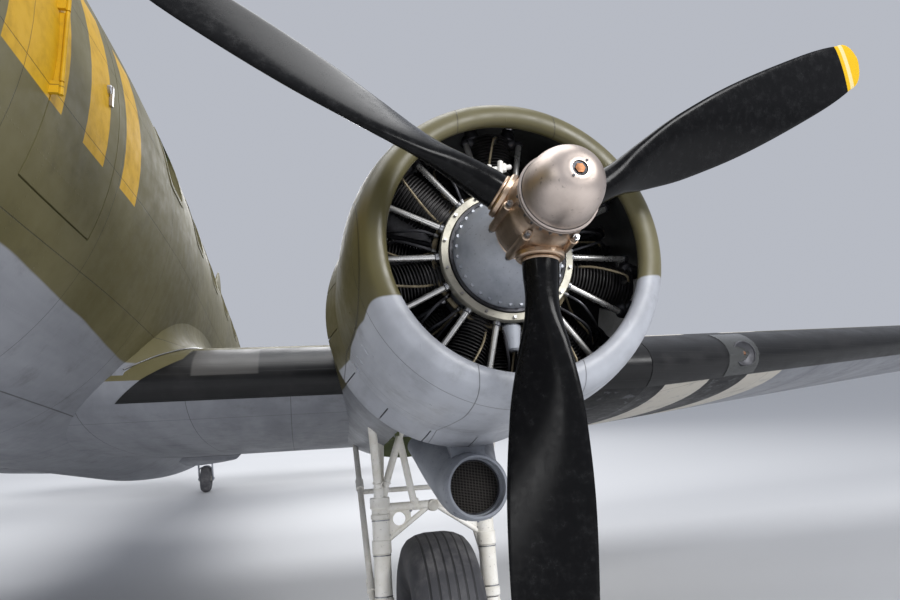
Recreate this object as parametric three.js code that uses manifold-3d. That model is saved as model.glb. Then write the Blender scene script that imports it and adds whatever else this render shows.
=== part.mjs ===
// A twin-engine military transport aeroplane, parked on its main wheels and its tail wheel.
// It is drawn in the aeroplane's own frame, in millimetres: X to port, Y aft from the tip of the nose,
// Z up from the engines' thrust line. The last lines tip it to its ground angle and stand it on Z = 0.
import * as THREE from "three";
import { mergeVertices } from "three/addons/utils/BufferGeometryUtils.js";
import Module from "manifold-3d";

// Driving dimensions
const GROUND_ANGLE = THREE.MathUtils.degToRad(8.8);
const HALF_SPAN = 14550;
const ENGINE = { x: 2820, y: 3050 };
const PROP_RADIUS = 1753;
const SKIN = 50;
const SEAT = 0.4; // gap between fixed pieces that bear on each other
const TIDY = 0.05; // how far a face may move where slivers are merged
const RUN = 8; // running gap round a moving surface
const PIN_GAP = 0.25; // running gap round a pin, at the flats of its bore
const boreFor = (pin, sides) => (pin + PIN_GAP) / Math.cos(Math.PI / sides);
const WHEEL = { y: 5550, z: -1740, radius: 565 };
const TAIL_WHEEL = { y: 16600, radius: 280, trail: 170 };
const TAIL_END = 19250;
const FLOOR = { top: 235, thick: 32, front: 2900, back: 14900 };

const wasm = await Module();
wasm.setup();

// Turns a closed geometry into a solid, facing out whichever way its triangles ran.
function solid(geometry) {
  const flat = geometry.index ? geometry.toNonIndexed() : geometry.clone();
  const bare = new THREE.BufferGeometry().setAttribute("position", flat.getAttribute("position"));
  const merged = mergeVertices(bare, 1e-3);
  const at = merged.attributes.position.array;
  const index = merged.index.array;
  const faces = [];
  let volume = 0;
  const [a, b, c] = [new THREE.Vector3(), new THREE.Vector3(), new THREE.Vector3()];
  for (let i = 0; i < index.length; i += 3) {
    const [p, q, r] = [index[i], index[i + 1], index[i + 2]];
    if (p === q || q === r || r === p) continue;
    faces.push([p, q, r]);
    volume += a.fromArray(at, 3 * p).dot(b.fromArray(at, 3 * q).cross(c.fromArray(at, 3 * r)));
  }
  const triVerts = new Uint32Array(faces.flatMap((f) => (volume < 0 ? [f[0], f[2], f[1]] : f)));
  return new wasm.Manifold(new wasm.Mesh({ numProp: 3, vertProperties: at, triVerts }));
}

function geometryOf(shape) {
  const mesh = shape.getMesh();
  return new THREE.BufferGeometry()
    .setAttribute("position", new THREE.BufferAttribute(new Float32Array(mesh.vertProperties), 3))
    .setIndex(new THREE.BufferAttribute(new Uint32Array(mesh.triVerts), 1));
}

const join = (...shapes) => shapes.reduce((sum, shape) => sum.add(shape));
const cut = (base, ...tools) => tools.reduce((rest, tool) => rest.subtract(tool), base);

function box(x0, x1, y0, y1, z0, z1) {
  const shape = new THREE.BoxGeometry(x1 - x0, y1 - y0, z1 - z0);
  return solid(shape.translate((x0 + x1) / 2, (y0 + y1) / 2, (z0 + z1) / 2));
}

// A round bar from one point to another, its second radius only where it tapers.
function bar(from, to, radius, sides = 12, endRadius = radius) {
  const [a, b] = [new THREE.Vector3(...from), new THREE.Vector3(...to)];
  const along = b.clone().sub(a);
  const shape = new THREE.CylinderGeometry(endRadius, radius, along.length(), sides);
  const turn = new THREE.Quaternion().setFromUnitVectors(new THREE.Vector3(0, 1, 0), along.normalize());
  return solid(shape.applyQuaternion(turn).translate(...a.add(b).multiplyScalar(0.5).toArray()));
}

// A solid of revolution about the Y axis through (x, z); its profile holds [radius, y] pairs.
function turned(profile, sides, x = 0, z = 0) {
  const points = profile.map(([radius, y]) => new THREE.Vector2(radius, y));
  return solid(new THREE.LatheGeometry(points, sides).translate(x, 0, z));
}

// A skin through rings of equally many points, closed by a flat face at each end.
function loft(rings) {
  const count = rings[0].length;
  const points = rings.flat();
  const faces = [];
  for (let i = 0; i + 1 < rings.length; i++)
    for (let j = 0; j < count; j++) {
      const [p, q] = [i * count + j, i * count + ((j + 1) % count)];
      faces.push(p, q, q + count, p, q + count, p + count);
    }
  const cap = (ring, first, flip) => {
    const normal = new THREE.Vector3();
    ring.forEach((p, i) => normal.add(p.clone().cross(ring[(i + 1) % count])));
    const [u, v] = [new THREE.Vector3(), new THREE.Vector3()];
    u.copy(ring[Math.floor(count / 3)]).sub(ring[0]).normalize();
    v.crossVectors(normal.normalize(), u);
    const outline = ring.map((p) => new THREE.Vector2(p.dot(u), p.dot(v)));
    for (const [a, b, c] of THREE.ShapeUtils.triangulateShape(outline, []))
      faces.push(first + a, first + (flip ? c : b), first + (flip ? b : c));
  };
  cap(rings[0], 0, true);
  cap(rings.at(-1), points.length - count, false);
  const shape = new THREE.BufferGeometry().setFromPoints(points);
  return solid(shape.setIndex(faces));
}

// Rounded body sections. Each row holds: station, half width, top, bottom.
function bodyRing([y, half, top, bottom], sides, grow = 0, power = 2, x = 0) {
  const [middle, height] = [(top + bottom) / 2, (top - bottom) / 2];
  const bend = (v) => Math.sign(v) * Math.abs(v) ** (2 / power);
  return Array.from({ length: sides }, (_, i) => {
    const t = (2 * Math.PI * (i + 0.5)) / sides;
    const [dx, dz] = [(half + grow) * bend(Math.cos(t)), (height + grow) * bend(Math.sin(t))];
    return new THREE.Vector3(x + dx, y, middle + dz);
  });
}

// The row of a body table at any station, by straight lines between its rows.
function rowAt(table, y) {
  const i = Math.max(1, table.findIndex((row) => row[0] >= y));
  const [a, b] = [table[i - 1], table[i]];
  const t = (y - a[0]) / (b[0] - a[0]);
  return a.map((value, k) => value + t * (b[k] - value));
}

// Fuselage. Columns: station, half width, top, bottom.
const HULL = [
  [0, 70, 370, 230],
  [60, 240, 560, 70],
  [250, 470, 790, -150],
  [600, 700, 1010, -330],
  [1150, 880, 1230, -450],
  [1900, 990, 1600, -510],
  [2600, 1050, 2020, -530],
  [3400, 1110, 2090, -535],
  [4600, 1215, 2115, -535],
  [5600, 1250, 2120, -535],
  [9600, 1250, 2120, -535],
  [11000, 1215, 2105, -475],
  [12500, 1110, 2065, -300],
  [14500, 880, 1965, 10],
  [16200, 620, 1830, 290],
  [17500, 400, 1660, 550],
  [18600, 225, 1450, 785],
  [TAIL_END, 125, 1300, 930],
];
const CANOPY = [
  [1000, 700, 1800, 700],
  [1500, 850, 1950, 650],
  [2000, 940, 2050, 600],
  [2600, 1030, 2085, 600],
  [3400, 1100, 2093, 600],
];
const HULL_SIDES = 20;
const CANOPY_POWER = 2.3;
const SECTION_JOINTS = { nose: 4300, centre: 10400, rear: 15700 };
const HOLD = { front: 500, back: 15000 };

// The windscreen's two flat faces meet at its middle post and slope back and outwards.
const SCREEN = {
  foot: new THREE.Vector3(0, 1130, 1270),
  up: new THREE.Vector3(0, 620, 640).normalize(),
  out: new THREE.Vector3(800, 400, -30).normalize(),
};
function screenFrame(side, depth) {
  const out = SCREEN.out.clone();
  const ahead = new THREE.Vector3().crossVectors(SCREEN.up, out).normalize();
  if (ahead.y > 0) ahead.negate();
  const frame = new THREE.Matrix4().makeBasis(out, SCREEN.up, ahead);
  frame.setPosition(SCREEN.foot.clone().addScaledVector(ahead, -depth));
  return frame.premultiply(new THREE.Matrix4().makeScale(side, 1, 1));
}
// A block in a windscreen frame: along out, along up, and ahead of the glass.
function screenBlock(side, depth, [o0, o1], [u0, u1], [a0, a1]) {
  const shape = new THREE.BoxGeometry(o1 - o0, u1 - u0, a1 - a0);
  shape.translate((o0 + o1) / 2, (u0 + u1) / 2, (a0 + a1) / 2);
  return solid(shape.applyMatrix4(screenFrame(side, depth)));
}

function hullShape(inset, from = 0, to = TAIL_END) {
  const rows = HULL.filter((row) => row[0] > from && row[0] < to);
  const ends = [rowAt(HULL, Math.max(from, 0.001)), rowAt(HULL, to)];
  const body = loft([ends[0], ...rows, ends[1]].map((row) => bodyRing(row, HULL_SIDES, -inset)));
  const cap = loft(CANOPY.map((row) => bodyRing(row, HULL_SIDES, -inset, CANOPY_POWER)));
  const reach = [-2500, 2500];
  const ahead = [1, -1].map((side) => screenBlock(side, inset, reach, reach, [0, 2500]));
  return join(body, cut(cap, ...ahead));
}
const hullOuter = hullShape(0);
const hullGrown = hullShape(-SEAT);
const holdSpace = hullShape(SKIN, HOLD.front, HOLD.back);

// Wing. The middle panel is straight; the outer ones taper, sweep back and rise.
const WING = {
  lead: 5150, z: -170, chord: 4320, ratio: 0.15, joint: 4350,
  sweep: 0.2773, taper: 0.2912, rise: Math.tan(THREE.MathUtils.degToRad(5)),
  tipRatio: 0.085, straightTo: 13600, incidence: THREE.MathUtils.degToRad(2),
};
const FOIL_STEPS = [1, 0.92, 0.8, 0.62, 0.42, 0.24, 0.1, 0.025];
// Height of a foil's upper (+1) or lower (-1) side over its chord line, as a share of the chord.
function foilHeight(at, ratio, side) {
  const bump = 0.2969 * Math.sqrt(at) - 0.126 * at - 0.3516 * at ** 2 + 0.2843 * at ** 3 - 0.1015 * at ** 4;
  const [camber, peak] = [0.02, 0.4];
  const rising = (camber / peak ** 2) * (2 * peak * at - at ** 2);
  const falling = (camber / (1 - peak) ** 2) * (1 - 2 * peak + 2 * peak * at - at ** 2);
  return (at < peak ? rising : falling) + side * 5 * ratio * bump;
}
// The wing's section at a span; its thickness, like its chord, falls in a straight line to the tip.
function wingAt(x) {
  const out = Math.max(0, x - WING.joint);
  const reach = WING.straightTo - WING.joint;
  const chord = WING.chord - out * WING.taper;
  const [root, tip] = [WING.ratio * WING.chord, WING.tipRatio * (WING.chord - reach * WING.taper)];
  const thick = root + ((tip - root) * out) / reach;
  return { x, y: WING.lead + out * WING.sweep, z: WING.z + out * WING.rise, chord, ratio: thick / chord };
}
// A point of the wing's skin, at a share of the chord.
function wingPoint(row, at, side, grow = 0) {
  const height = foilHeight(at, row.ratio, side) * row.chord + side * grow;
  const [c, s] = [Math.cos(WING.incidence), Math.sin(WING.incidence)];
  const along = at * row.chord;
  return new THREE.Vector3(row.x, row.y + along * c + height * s, row.z + height * c - along * s);
}
function foilRing(row, grow = 0) {
  const upper = FOIL_STEPS.map((at) => wingPoint(row, at, 1, grow));
  const nose = wingPoint(row, 0, 0);
  nose.y -= grow;
  const lower = FOIL_STEPS.toReversed().map((at) => wingPoint(row, at, -1, grow));
  return [...upper, nose, ...lower];
}
// The rounded tip. Columns: span, leading edge, chord, thickness ratio.
const TIP = [
  [14080, 7935, 1310, 0.085],
  [14380, 8120, 960, 0.08],
  [HALF_SPAN, 8420, 420, 0.07],
];
const tipRows = TIP.map(([x, y, chord, ratio]) => ({ ...wingAt(x), y, chord, ratio }));
const middlePanel = loft([-WING.joint, WING.joint].map((x) => foilRing({ ...wingAt(0), x })));
const middleGrown = loft([-WING.joint, WING.joint].map((x) => foilRing({ ...wingAt(0), x }, SEAT)));
const outerPanel = loft([
  foilRing(wingAt(WING.joint + SEAT)),
  foilRing(wingAt(WING.straightTo)),
  ...tipRows.map((row) => foilRing(row)),
]);

// A hinged surface's frame: X along the hinge, Y aft, Z up, its origin at the hinge's first end.
function hingeFrame(from, to) {
  const x = to.clone().sub(from).normalize();
  const z = new THREE.Vector3().crossVectors(x, new THREE.Vector3(0, 1, 0)).normalize();
  const frame = new THREE.Matrix4().makeBasis(x, new THREE.Vector3().crossVectors(z, x), z);
  return { matrix: frame.setPosition(from), length: from.distanceTo(to), from, to, axis: x };
}
function hingeBlock(hinge, [x0, x1], [y0, y1], [z0, z1]) {
  const shape = new THREE.BoxGeometry(x1 - x0, y1 - y0, z1 - z0);
  shape.translate((x0 + x1) / 2, (y0 + y1) / 2, (z0 + z1) / 2);
  return solid(shape.applyMatrix4(hinge.matrix));
}
function hingeBar(hinge, x0, x1, r0, r1, sides = 12) {
  const shape = new THREE.CylinderGeometry(r1, r0, x1 - x0, sides).rotateZ(-Math.PI / 2);
  return solid(shape.translate((x0 + x1) / 2, 0, 0).applyMatrix4(hinge.matrix));
}
const PIN = { radius: 14, sides: 10, reach: 34 };
const hingePin = (hinge, radius) =>
  hingeBar(hinge, -PIN.reach, hinge.length + PIN.reach, radius, radius, PIN.sides);
function hingeBore(hinge, radius) {
  const bore = boreFor(radius, PIN.sides);
  return hingeBar(hinge, -PIN.reach - RUN, hinge.length + PIN.reach + RUN, bore, bore, PIN.sides);
}
// A spindle along a hinge, through pairs of distance and radius; it may be grown and lengthened.
function hingeSpindle(hinge, marks, grow, over) {
  const last = marks.length - 1;
  const side = marks.map(([along, radius], i) =>
    [radius + grow, along + (i === last ? over : 0) - (i === 0 ? over : 0)]);
  const points = [[0, side[0][1]], ...side, [0, side[last][1]]].map((p) => new THREE.Vector2(...p));
  return solid(new THREE.LatheGeometry(points, 12).rotateZ(-Math.PI / 2).applyMatrix4(hinge.matrix));
}
// Cuts a surface with a round nose, and a pin at each end, out of what carries it.
function hungSurface(carrier, skin, hinge, marks, depth) {
  const high = [-depth, depth];
  const pin = hingePin(hinge, PIN.radius);
  const region = join(
    hingeBlock(hinge, [0, hinge.length], [0, depth], high),
    hingeSpindle(hinge, marks, -2, 0),
  );
  const room = join(
    hingeBlock(hinge, [-RUN, hinge.length + RUN], [-RUN, depth], high),
    hingeSpindle(hinge, marks, RUN + 2, RUN),
    hingeBore(hinge, PIN.radius),
  );
  return { moving: join(skin.intersect(region), pin), carrier: carrier.subtract(room) };
}

// Ailerons: the outer wing's rear part, hung at this share of the chord.
const AILERON = { from: 9120, to: 13850, at: 0.78 };
function chordMiddle(x, at) {
  const row = wingAt(x);
  return wingPoint(row, at, 1).lerp(wingPoint(row, at, -1), 0.5);
}
const halfThick = (row, at) => wingPoint(row, at, 1).distanceTo(wingPoint(row, at, -1)) / 2;
const aileronHinge = hingeFrame(chordMiddle(AILERON.from, AILERON.at), chordMiddle(AILERON.to, AILERON.at));
// Past the straight part, the section shrinks towards the first row of the tip.
function tipSection(x) {
  const [a, b] = [wingAt(WING.straightTo), tipRows[0]];
  const t = (x - a.x) / (b.x - a.x);
  const chord = a.chord + t * (b.chord - a.chord);
  const thick = a.ratio * a.chord + t * (b.ratio * b.chord - a.ratio * a.chord);
  return { x, y: a.y + t * (b.y - a.y), z: a.z + t * (b.z - a.z), chord, ratio: thick / chord };
}
const aileronNose = [AILERON.from, WING.straightTo, AILERON.to].map((x) => {
  const along = (x - AILERON.from) / (AILERON.to - AILERON.from);
  const row = x > WING.straightTo ? tipSection(x) : wingAt(x);
  const hingeY = THREE.MathUtils.lerp(aileronHinge.from.y, aileronHinge.to.y, along);
  return [along * aileronHinge.length, halfThick(row, (hingeY - row.y) / row.chord)];
});
const aileronSplit = hungSurface(outerPanel, outerPanel, aileronHinge, aileronNose, 1000);

// Split flaps: plates in the wing's underside, hung at their front edge.
const FLAP = { at: 0.8, end: 0.965, thick: 30, edge: 12, nose: 13, pin: 8 };
function flapRing(x, gap) {
  const row = wingAt(x);
  const low = [FLAP.at, 0.86, 0.92, FLAP.end].map((at) => wingPoint(row, at, -1));
  const drop = (p, d) => p.clone().add(new THREE.Vector3(0, 0, d));
  const top = [drop(low[3], FLAP.edge + gap), drop(low[0], FLAP.thick + gap)];
  if (!gap) return [...low, ...top];
  const past = new THREE.Vector3(0, gap, 0);
  const under = low.map((p) => drop(p, -60));
  under[3].add(past);
  return [...under, top[0].add(past), top[1]];
}
function splitFlap(carrier, from, to) {
  const axisPoint = (x) => wingPoint(wingAt(x), FLAP.at, -1).add(new THREE.Vector3(0, 0, FLAP.nose + 2));
  const hinge = hingeFrame(axisPoint(from), axisPoint(to));
  const spread = 120;
  const plate = loft([from - spread, to + spread].map((x) => flapRing(x, 0)));
  const pocket = loft([from - spread, to + spread].map((x) => flapRing(x, RUN)));
  const [span, reach] = [[0, hinge.length], [-200, 1200]];
  const wide = [-RUN, hinge.length + RUN];
  const moving = join(
    plate.intersect(hingeBlock(hinge, span, [0, 1200], reach)),
    hingeBar(hinge, ...span, FLAP.nose, FLAP.nose),
    hingePin(hinge, FLAP.pin),
  );
  const room = join(
    pocket.intersect(hingeBlock(hinge, wide, [0, 1200], reach)),
    hingeBar(hinge, ...wide, FLAP.nose + RUN, FLAP.nose + RUN),
    hingeBore(hinge, FLAP.pin),
  );
  return { moving, carrier: carrier.subtract(room), hinge };
}
const FLAP_SPANS = { inner: [1330, 4080], outer: [4560, 8980] };
const flapSides = [1, -1].map((side) => {
  const [near, far] = FLAP_SPANS.inner.map((x) => side * x);
  return { from: Math.min(near, far), to: Math.max(near, far) };
});
const portFlap = splitFlap(middlePanel, flapSides[0].from, flapSides[0].to);
const bothFlaps = splitFlap(portFlap.carrier, flapSides[1].from, flapSides[1].to);
const outerFlap = splitFlap(aileronSplit.carrier, ...FLAP_SPANS.outer);

// Jacking pads: flat bosses under the wing's main spar.
const JACK = { x: 3950, at: 0.3, radius: 70, drop: 30, sunk: 80 };
const jackFoot = wingPoint(wingAt(JACK.x), JACK.at, -1);
function jackPad(side) {
  const [x, y, z] = [side * JACK.x, jackFoot.y, jackFoot.z];
  return bar([x, y, z + JACK.sunk], [x, y, z - JACK.drop], JACK.radius, 16);
}

// Doors in the port side, each hung on an upright pin just outside the widest line of the hull.
const DOOR = { gap: 8, out: 22, barrel: 14, barrelHalf: 150, pin: 8, lug: 16, lugLong: 50, lugGap: 6 };
const hullShell = cut(hullOuter, holdSpace);
function hungDoor({ hinge, free, low, high }) {
  const toward = Math.sign(free - hinge);
  const [, half, top, bottom] = rowAt(HULL, hinge);
  const [x, z] = [half + DOOR.out, (top + bottom) / 2];
  const ys = (near, far) => [hinge + toward * near, hinge + toward * far].sort((p, q) => p - q);
  const reach = Math.abs(free - hinge);
  const edge = Math.hypot(reach, x - rowAt(HULL, free)[1]) - DOOR.gap / 2;
  const sweep = bar([x, hinge, z - 2000], [x, hinge, z + 2000], edge, 64);
  const leafBox = box(300, 2500, ...ys(DOOR.gap, reach), low + DOOR.gap, high - DOOR.gap);
  const { barrelHalf, lugGap, lugLong } = DOOR;
  const leaf = join(
    hullShell.intersect(leafBox).intersect(sweep),
    box(half - 40, x, ...ys(DOOR.gap + 1, 70), z - barrelHalf, z + barrelHalf),
    box(half + 10, x + 12, ...ys(0, 70), z - barrelHalf, z + barrelHalf),
    bar([x, hinge, z - barrelHalf], [x, hinge, z + barrelHalf], DOOR.barrel, 12),
    bar([x, hinge, z - barrelHalf - lugLong], [x, hinge, z + barrelHalf + lugLong], DOOR.pin, 12),
  );
  const lugs = [1, -1].map((side) => {
    const [z0, z1] = [z + side * (barrelHalf + lugGap), z + side * (barrelHalf + lugGap + lugLong)];
    const block = box(half - 30, x + 12, ...ys(-70, -2), Math.min(z0, z1), Math.max(z0, z1));
    return join(block, bar([x, hinge, z0], [x, hinge, z1], DOOR.lug, 12));
  });
  const bore = bar([x, hinge, z - 400], [x, hinge, z + 400], boreFor(DOOR.pin, 12), 12);
  return { leaf, lugs: cut(join(...lugs), bore), opening: box(300, 2500, ...ys(0, reach), low, high) };
}
const CARGO = { from: 12200, to: 14350, low: 245, high: 1600 };
const CREW = { from: 3300, to: 3950, low: 245, high: 1540 };
const middle = (CARGO.from + CARGO.to) / 2;
const cargoFront = hungDoor({ hinge: CARGO.from, free: middle, ...CARGO });
const cargoRear = hungDoor({ hinge: CARGO.to, free: middle, ...CARGO });
const crewDoor = hungDoor({ hinge: CREW.from, free: CREW.to, ...CREW });
const crewClearance = box(300, 2500, CREW.to - 1, CREW.to + DOOR.gap / 2, CREW.low, CREW.high);

// Cockpit windows: the two screens, and two side panes a side. Columns: from, to, low, high.
const SCREENS = { out: [45, 640], up: [60, 640] };
const SIDE_PANES = [
  [1880, 2280, 1330, 1800],
  [2340, 2760, 1330, 1790],
];
const screenHoles = [1, -1].map((side) => screenBlock(side, 0, SCREENS.out, SCREENS.up, [-160, 200]));
const paneHoles = SIDE_PANES.flatMap(([from, to, low, high]) => [
  box(500, 1500, from, to, low, high),
  box(-1500, -500, from, to, low, high),
]);
const GLASS = 12;
const glassRoom = box(-1300, 1300, 1140, 2900, 1270, 1900);
const glassShell = cut(hullShape(SKIN + SEAT), hullShape(SKIN + SEAT + GLASS));
const glazing = glassShell.intersect(glassRoom);

// Cabin windows: a row of holes along each side, with one strip of glass behind each row.
const WINDOWS = { first: 5120, step: 1000, count: 7, wide: 400, low: 1010, high: 1370, lap: 40 };
const windowMiddles = Array.from({ length: WINDOWS.count }, (_, i) => WINDOWS.first + i * WINDOWS.step);
const windowHoles = windowMiddles.map((y) =>
  box(-1500, 1500, y - WINDOWS.wide / 2, y + WINDOWS.wide / 2, WINDOWS.low, WINDOWS.high));
const paneReach = WINDOWS.wide / 2 + WINDOWS.lap;
const panes = glassShell.intersect(box(
  500, 1500, windowMiddles[0] - paneReach, windowMiddles.at(-1) + paneReach,
  WINDOWS.low - WINDOWS.lap, WINDOWS.high + WINDOWS.lap,
));

// Tail surfaces. Columns: span or height, leading edge, chord, thickness ratio.
const TAILPLANE_Z = 1480;
const TAILPLANE = [
  [0, 15850, 2700, 0.1],
  [3300, 16830, 1620, 0.09],
  [3850, 17080, 1230, 0.08],
  [4065, 17360, 740, 0.07],
];
const FIN = [
  [1300, 15300, 4050, 0.055],
  [1700, 16050, 3320, 0.065],
  [2300, 16760, 2660, 0.08],
  [3400, 17240, 2160, 0.085],
  [4150, 17600, 1600, 0.085],
  [4600, 17930, 1080, 0.08],
  [4850, 18260, 480, 0.07],
];
const foilThick = (at, ratio) => (foilHeight(at, ratio, 1) - foilHeight(at, ratio, -1)) / 2;
function tailRing(lead, chord, ratio, place, grow = 0) {
  const face = (steps, side) => steps.map((at) =>
    place(lead + at * chord, side * (foilThick(at, ratio) * chord + grow)));
  return [...face(FOIL_STEPS, 1), place(lead - grow, 0), ...face(FOIL_STEPS.toReversed(), -1)];
}
function tailplaneShape(grow) {
  const rows = [...TAILPLANE.slice(1).toReversed().map(([x, ...rest]) => [-x, ...rest]), ...TAILPLANE];
  return loft(rows.map(([x, lead, chord, ratio]) =>
    tailRing(lead, chord, ratio, (y, t) => new THREE.Vector3(x, y, TAILPLANE_Z + t), grow)));
}
const finShape = (grow) =>
  loft(FIN.map(([z, lead, chord, ratio]) =>
    tailRing(lead, chord, ratio, (y, t) => new THREE.Vector3(t, y, z), grow)));
function tailHalfThick(table, at, y) {
  const [, lead, chord, ratio] = rowAt(table, at);
  return foilThick((y - lead) / chord, ratio) * chord;
}
const ELEVATOR = { y: 17550, from: 380, to: 3780 };
const RUDDER = { y: 18230, from: 1650, to: 4380 };
const elevatorHinges = [1, -1].map((side) => hingeFrame(
  new THREE.Vector3(side > 0 ? ELEVATOR.from : -ELEVATOR.to, ELEVATOR.y, TAILPLANE_Z),
  new THREE.Vector3(side > 0 ? ELEVATOR.to : -ELEVATOR.from, ELEVATOR.y, TAILPLANE_Z),
));
const elevatorNose = [ELEVATOR.from, 1800, 3300, ELEVATOR.to].map((x) => [
  x - ELEVATOR.from, tailHalfThick(TAILPLANE, x, ELEVATOR.y),
]);
const elevatorLength = ELEVATOR.to - ELEVATOR.from;
const farNose = elevatorNose.toReversed().map(([along, radius]) => [elevatorLength - along, radius]);
const wholeTailplane = tailplaneShape(0);
const portElevator = hungSurface(wholeTailplane, wholeTailplane, elevatorHinges[0], elevatorNose, 1300);
const bothElevators = hungSurface(
  portElevator.carrier, wholeTailplane, elevatorHinges[1], farNose, 1300,
);
// Between the elevators the tailplane ends square, a little behind their hinge.
const TAILPLANE_END = ELEVATOR.y + 200;
const tailplane = cut(bothElevators.carrier, box(-372, 372, TAILPLANE_END, TAIL_END, 1000, 2000));
const tailplaneSlot = cut(
  tailplaneShape(SEAT),
  box(-420, 420, TAILPLANE_END + SEAT, TAIL_END, 1000, 2000),
);

const rudderHinge = hingeFrame(
  new THREE.Vector3(0, RUDDER.y, RUDDER.from),
  new THREE.Vector3(0, RUDDER.y, RUDDER.to),
);
const rudderNose = [RUDDER.from, 2300, 3400, 4150, RUDDER.to].map((z) => [
  z - RUDDER.from, tailHalfThick(FIN, z, RUDDER.y),
]);
const wholeFin = finShape(0);
const rudderSplit = hungSurface(wholeFin, wholeFin, rudderHinge, rudderNose, 1600);
const fin = cut(
  rudderSplit.carrier, hullGrown, tailplaneShape(SEAT),
  box(-500, 500, 18460, 20000, 1000, RUDDER.from),
);

// Fillets between the wing and the hull. Columns: station, radius, height of the wing's top there.
const FILLET = [
  [5160, 40], [5400, 150], [6200, 240], [7400, 360], [8600, 520], [9400, 560], [9900, 360], [10300, 90],
];
function topOfWing(y) {
  const row = wingAt(0);
  const at = Math.min(0.999, Math.max(0.005, (y - row.y) / row.chord));
  return wingPoint(row, at, 1).z;
}
function filletShape(side) {
  const rings = FILLET.map(([y, radius]) => {
    const base = topOfWing(y) - 6;
    const [, half, top, bottom] = rowAt(HULL, y);
    const [middle, height] = [(top + bottom) / 2, (top - bottom) / 2];
    const wall = (z) => half * Math.sqrt(Math.max(0, 1 - ((z - middle) / height) ** 2));
    const foot = wall(base) + radius;
    const head = base + radius;
    const steps = [0, 0.25, 0.5, 0.75, 1].map((t) => (t * Math.PI) / 2);
    const arc = steps.map((t) => [
      foot - (foot - wall(head) + 4) * Math.sin(t),
      head - radius * Math.cos(t),
    ]);
    return [...arc, [500, head], [500, base - 60], [foot, base - 60]]
      .map(([x, z]) => new THREE.Vector3(side * x, y, z));
  });
  return cut(loft(rings), hullGrown);
}
const wingCentre = join(bothFlaps.carrier, filletShape(1), filletShape(-1), jackPad(1), jackPad(-1));

// Fuselage pieces
const between = (from, to) => box(-3000, 3000, from, to, -3000, 4000);
const { nose, centre, rear } = SECTION_JOINTS;
const noseShell = hullShell.intersect(between(-10, nose));
const rearShell = hullShell.intersect(between(centre + SEAT, rear));
const noseSection = join(
  cut(noseShell, ...screenHoles, ...paneHoles, crewDoor.opening, crewClearance),
  crewDoor.lugs,
);
const centreSection = cut(hullShell.intersect(between(nose + SEAT, centre)), middleGrown, ...windowHoles);
const rearSection = join(
  cut(rearShell, cargoFront.opening, cargoRear.opening, ...windowHoles),
  cargoFront.lugs, cargoRear.lugs,
);
const tailSection = cut(hullShell.intersect(between(rear + SEAT, TAIL_END)), tailplaneSlot);
const insideHull = hullShape(SKIN + SEAT, HOLD.front, HOLD.back);
const floor = insideHull.intersect(
  box(-1300, 1300, FLOOR.front, FLOOR.back, FLOOR.top - FLOOR.thick, FLOOR.top),
);

// Cockpit: its floor, panel, pedestal, two seats and two control columns, in one piece.
const COCKPIT = { front: 1250, back: 2890, floor: 212, seatX: 430 };
const SEAT_PLAN = { half: 210, front: 2150, back: 2600, cushion: [560, 650], top: 1290, foot: 140 };
function seatAt(x) {
  const { half, front, back, cushion, top, foot } = SEAT_PLAN;
  return join(
    box(x - half, x + half, front, back - 20, ...cushion),
    box(x - half, x + half, back - 80, back, cushion[0], top),
    box(x - foot, x + foot, front + 80, back - 80, COCKPIT.floor - 2, cushion[0] + 40),
  );
}
const YOKE = { y: 1960, z: 880, half: 150 };
const yokeAt = (x) => join(
  bar([x, YOKE.y - 60, COCKPIT.floor - 22], [x, YOKE.y, YOKE.z], 22, 10),
  bar([x - YOKE.half, YOKE.y, YOKE.z], [x + YOKE.half, YOKE.y, YOKE.z], 14, 8),
);
const cockpit = join(
  box(-1300, 1300, COCKPIT.front, COCKPIT.back, COCKPIT.floor - FLOOR.thick, COCKPIT.floor),
  box(-620, 620, 1500, 1560, COCKPIT.floor - 22, 1240),
  box(-130, 130, 1540, 2100, COCKPIT.floor - 12, 700),
  seatAt(COCKPIT.seatX), seatAt(-COCKPIT.seatX), yokeAt(COCKPIT.seatX), yokeAt(-COCKPIT.seatX),
).intersect(insideHull);

// Nacelles. Columns: station, half width, top, bottom.
const NACELLE = [
  [4010, 540, 540, -540],
  [4250, 575, 575, -580],
  [4600, 615, 600, -630],
  [5100, 640, 580, -655],
  [5700, 650, 520, -665],
  [6300, 640, 430, -650],
  [7000, 590, 290, -610],
  [7700, 490, 110, -540],
  [8300, 330, -60, -440],
  [8650, 150, -190, -340],
];
const NACELLE_SIDES = 18;
const nacelleShape = (grow) => loft(NACELLE.map((row) => bodyRing(row, NACELLE_SIDES, grow, 2, ENGINE.x)));
const WELL = { half: 300, from: 4850, to: 6750 };
const well = join(
  box(ENGINE.x - WELL.half, ENGINE.x + WELL.half, WELL.from, WELL.to, -1500, -300),
  box(ENGINE.x - WELL.half, ENGINE.x + WELL.half, WELL.from, 5600, -1500, -40),
);
const nacelle = cut(nacelleShape(0), middleGrown, well);
const nacelleGrown = cut(nacelleShape(SEAT), well);

// Cowling, its gills, and the engine inside. Profiles hold [radius, distance behind the propeller].
const behind = (profile) => profile.map(([radius, y]) => [radius, y + ENGINE.y]);
const ring = (profile, sides) => turned(behind([...profile, profile[0]]), sides, ENGINE.x);
const COWL = { back: 1120, inner: 655 };
const cowling = ring([
  [525, 252], [560, 232], [602, 242], [645, 300], [682, 520],
  [677, COWL.back], [COWL.inner, COWL.back], [655, 520], [540, 305],
], 28);
const gills = ring([
  [COWL.inner, COWL.back + SEAT], [677, COWL.back + SEAT], [716, 1370], [706, 1370],
], 28);

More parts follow.
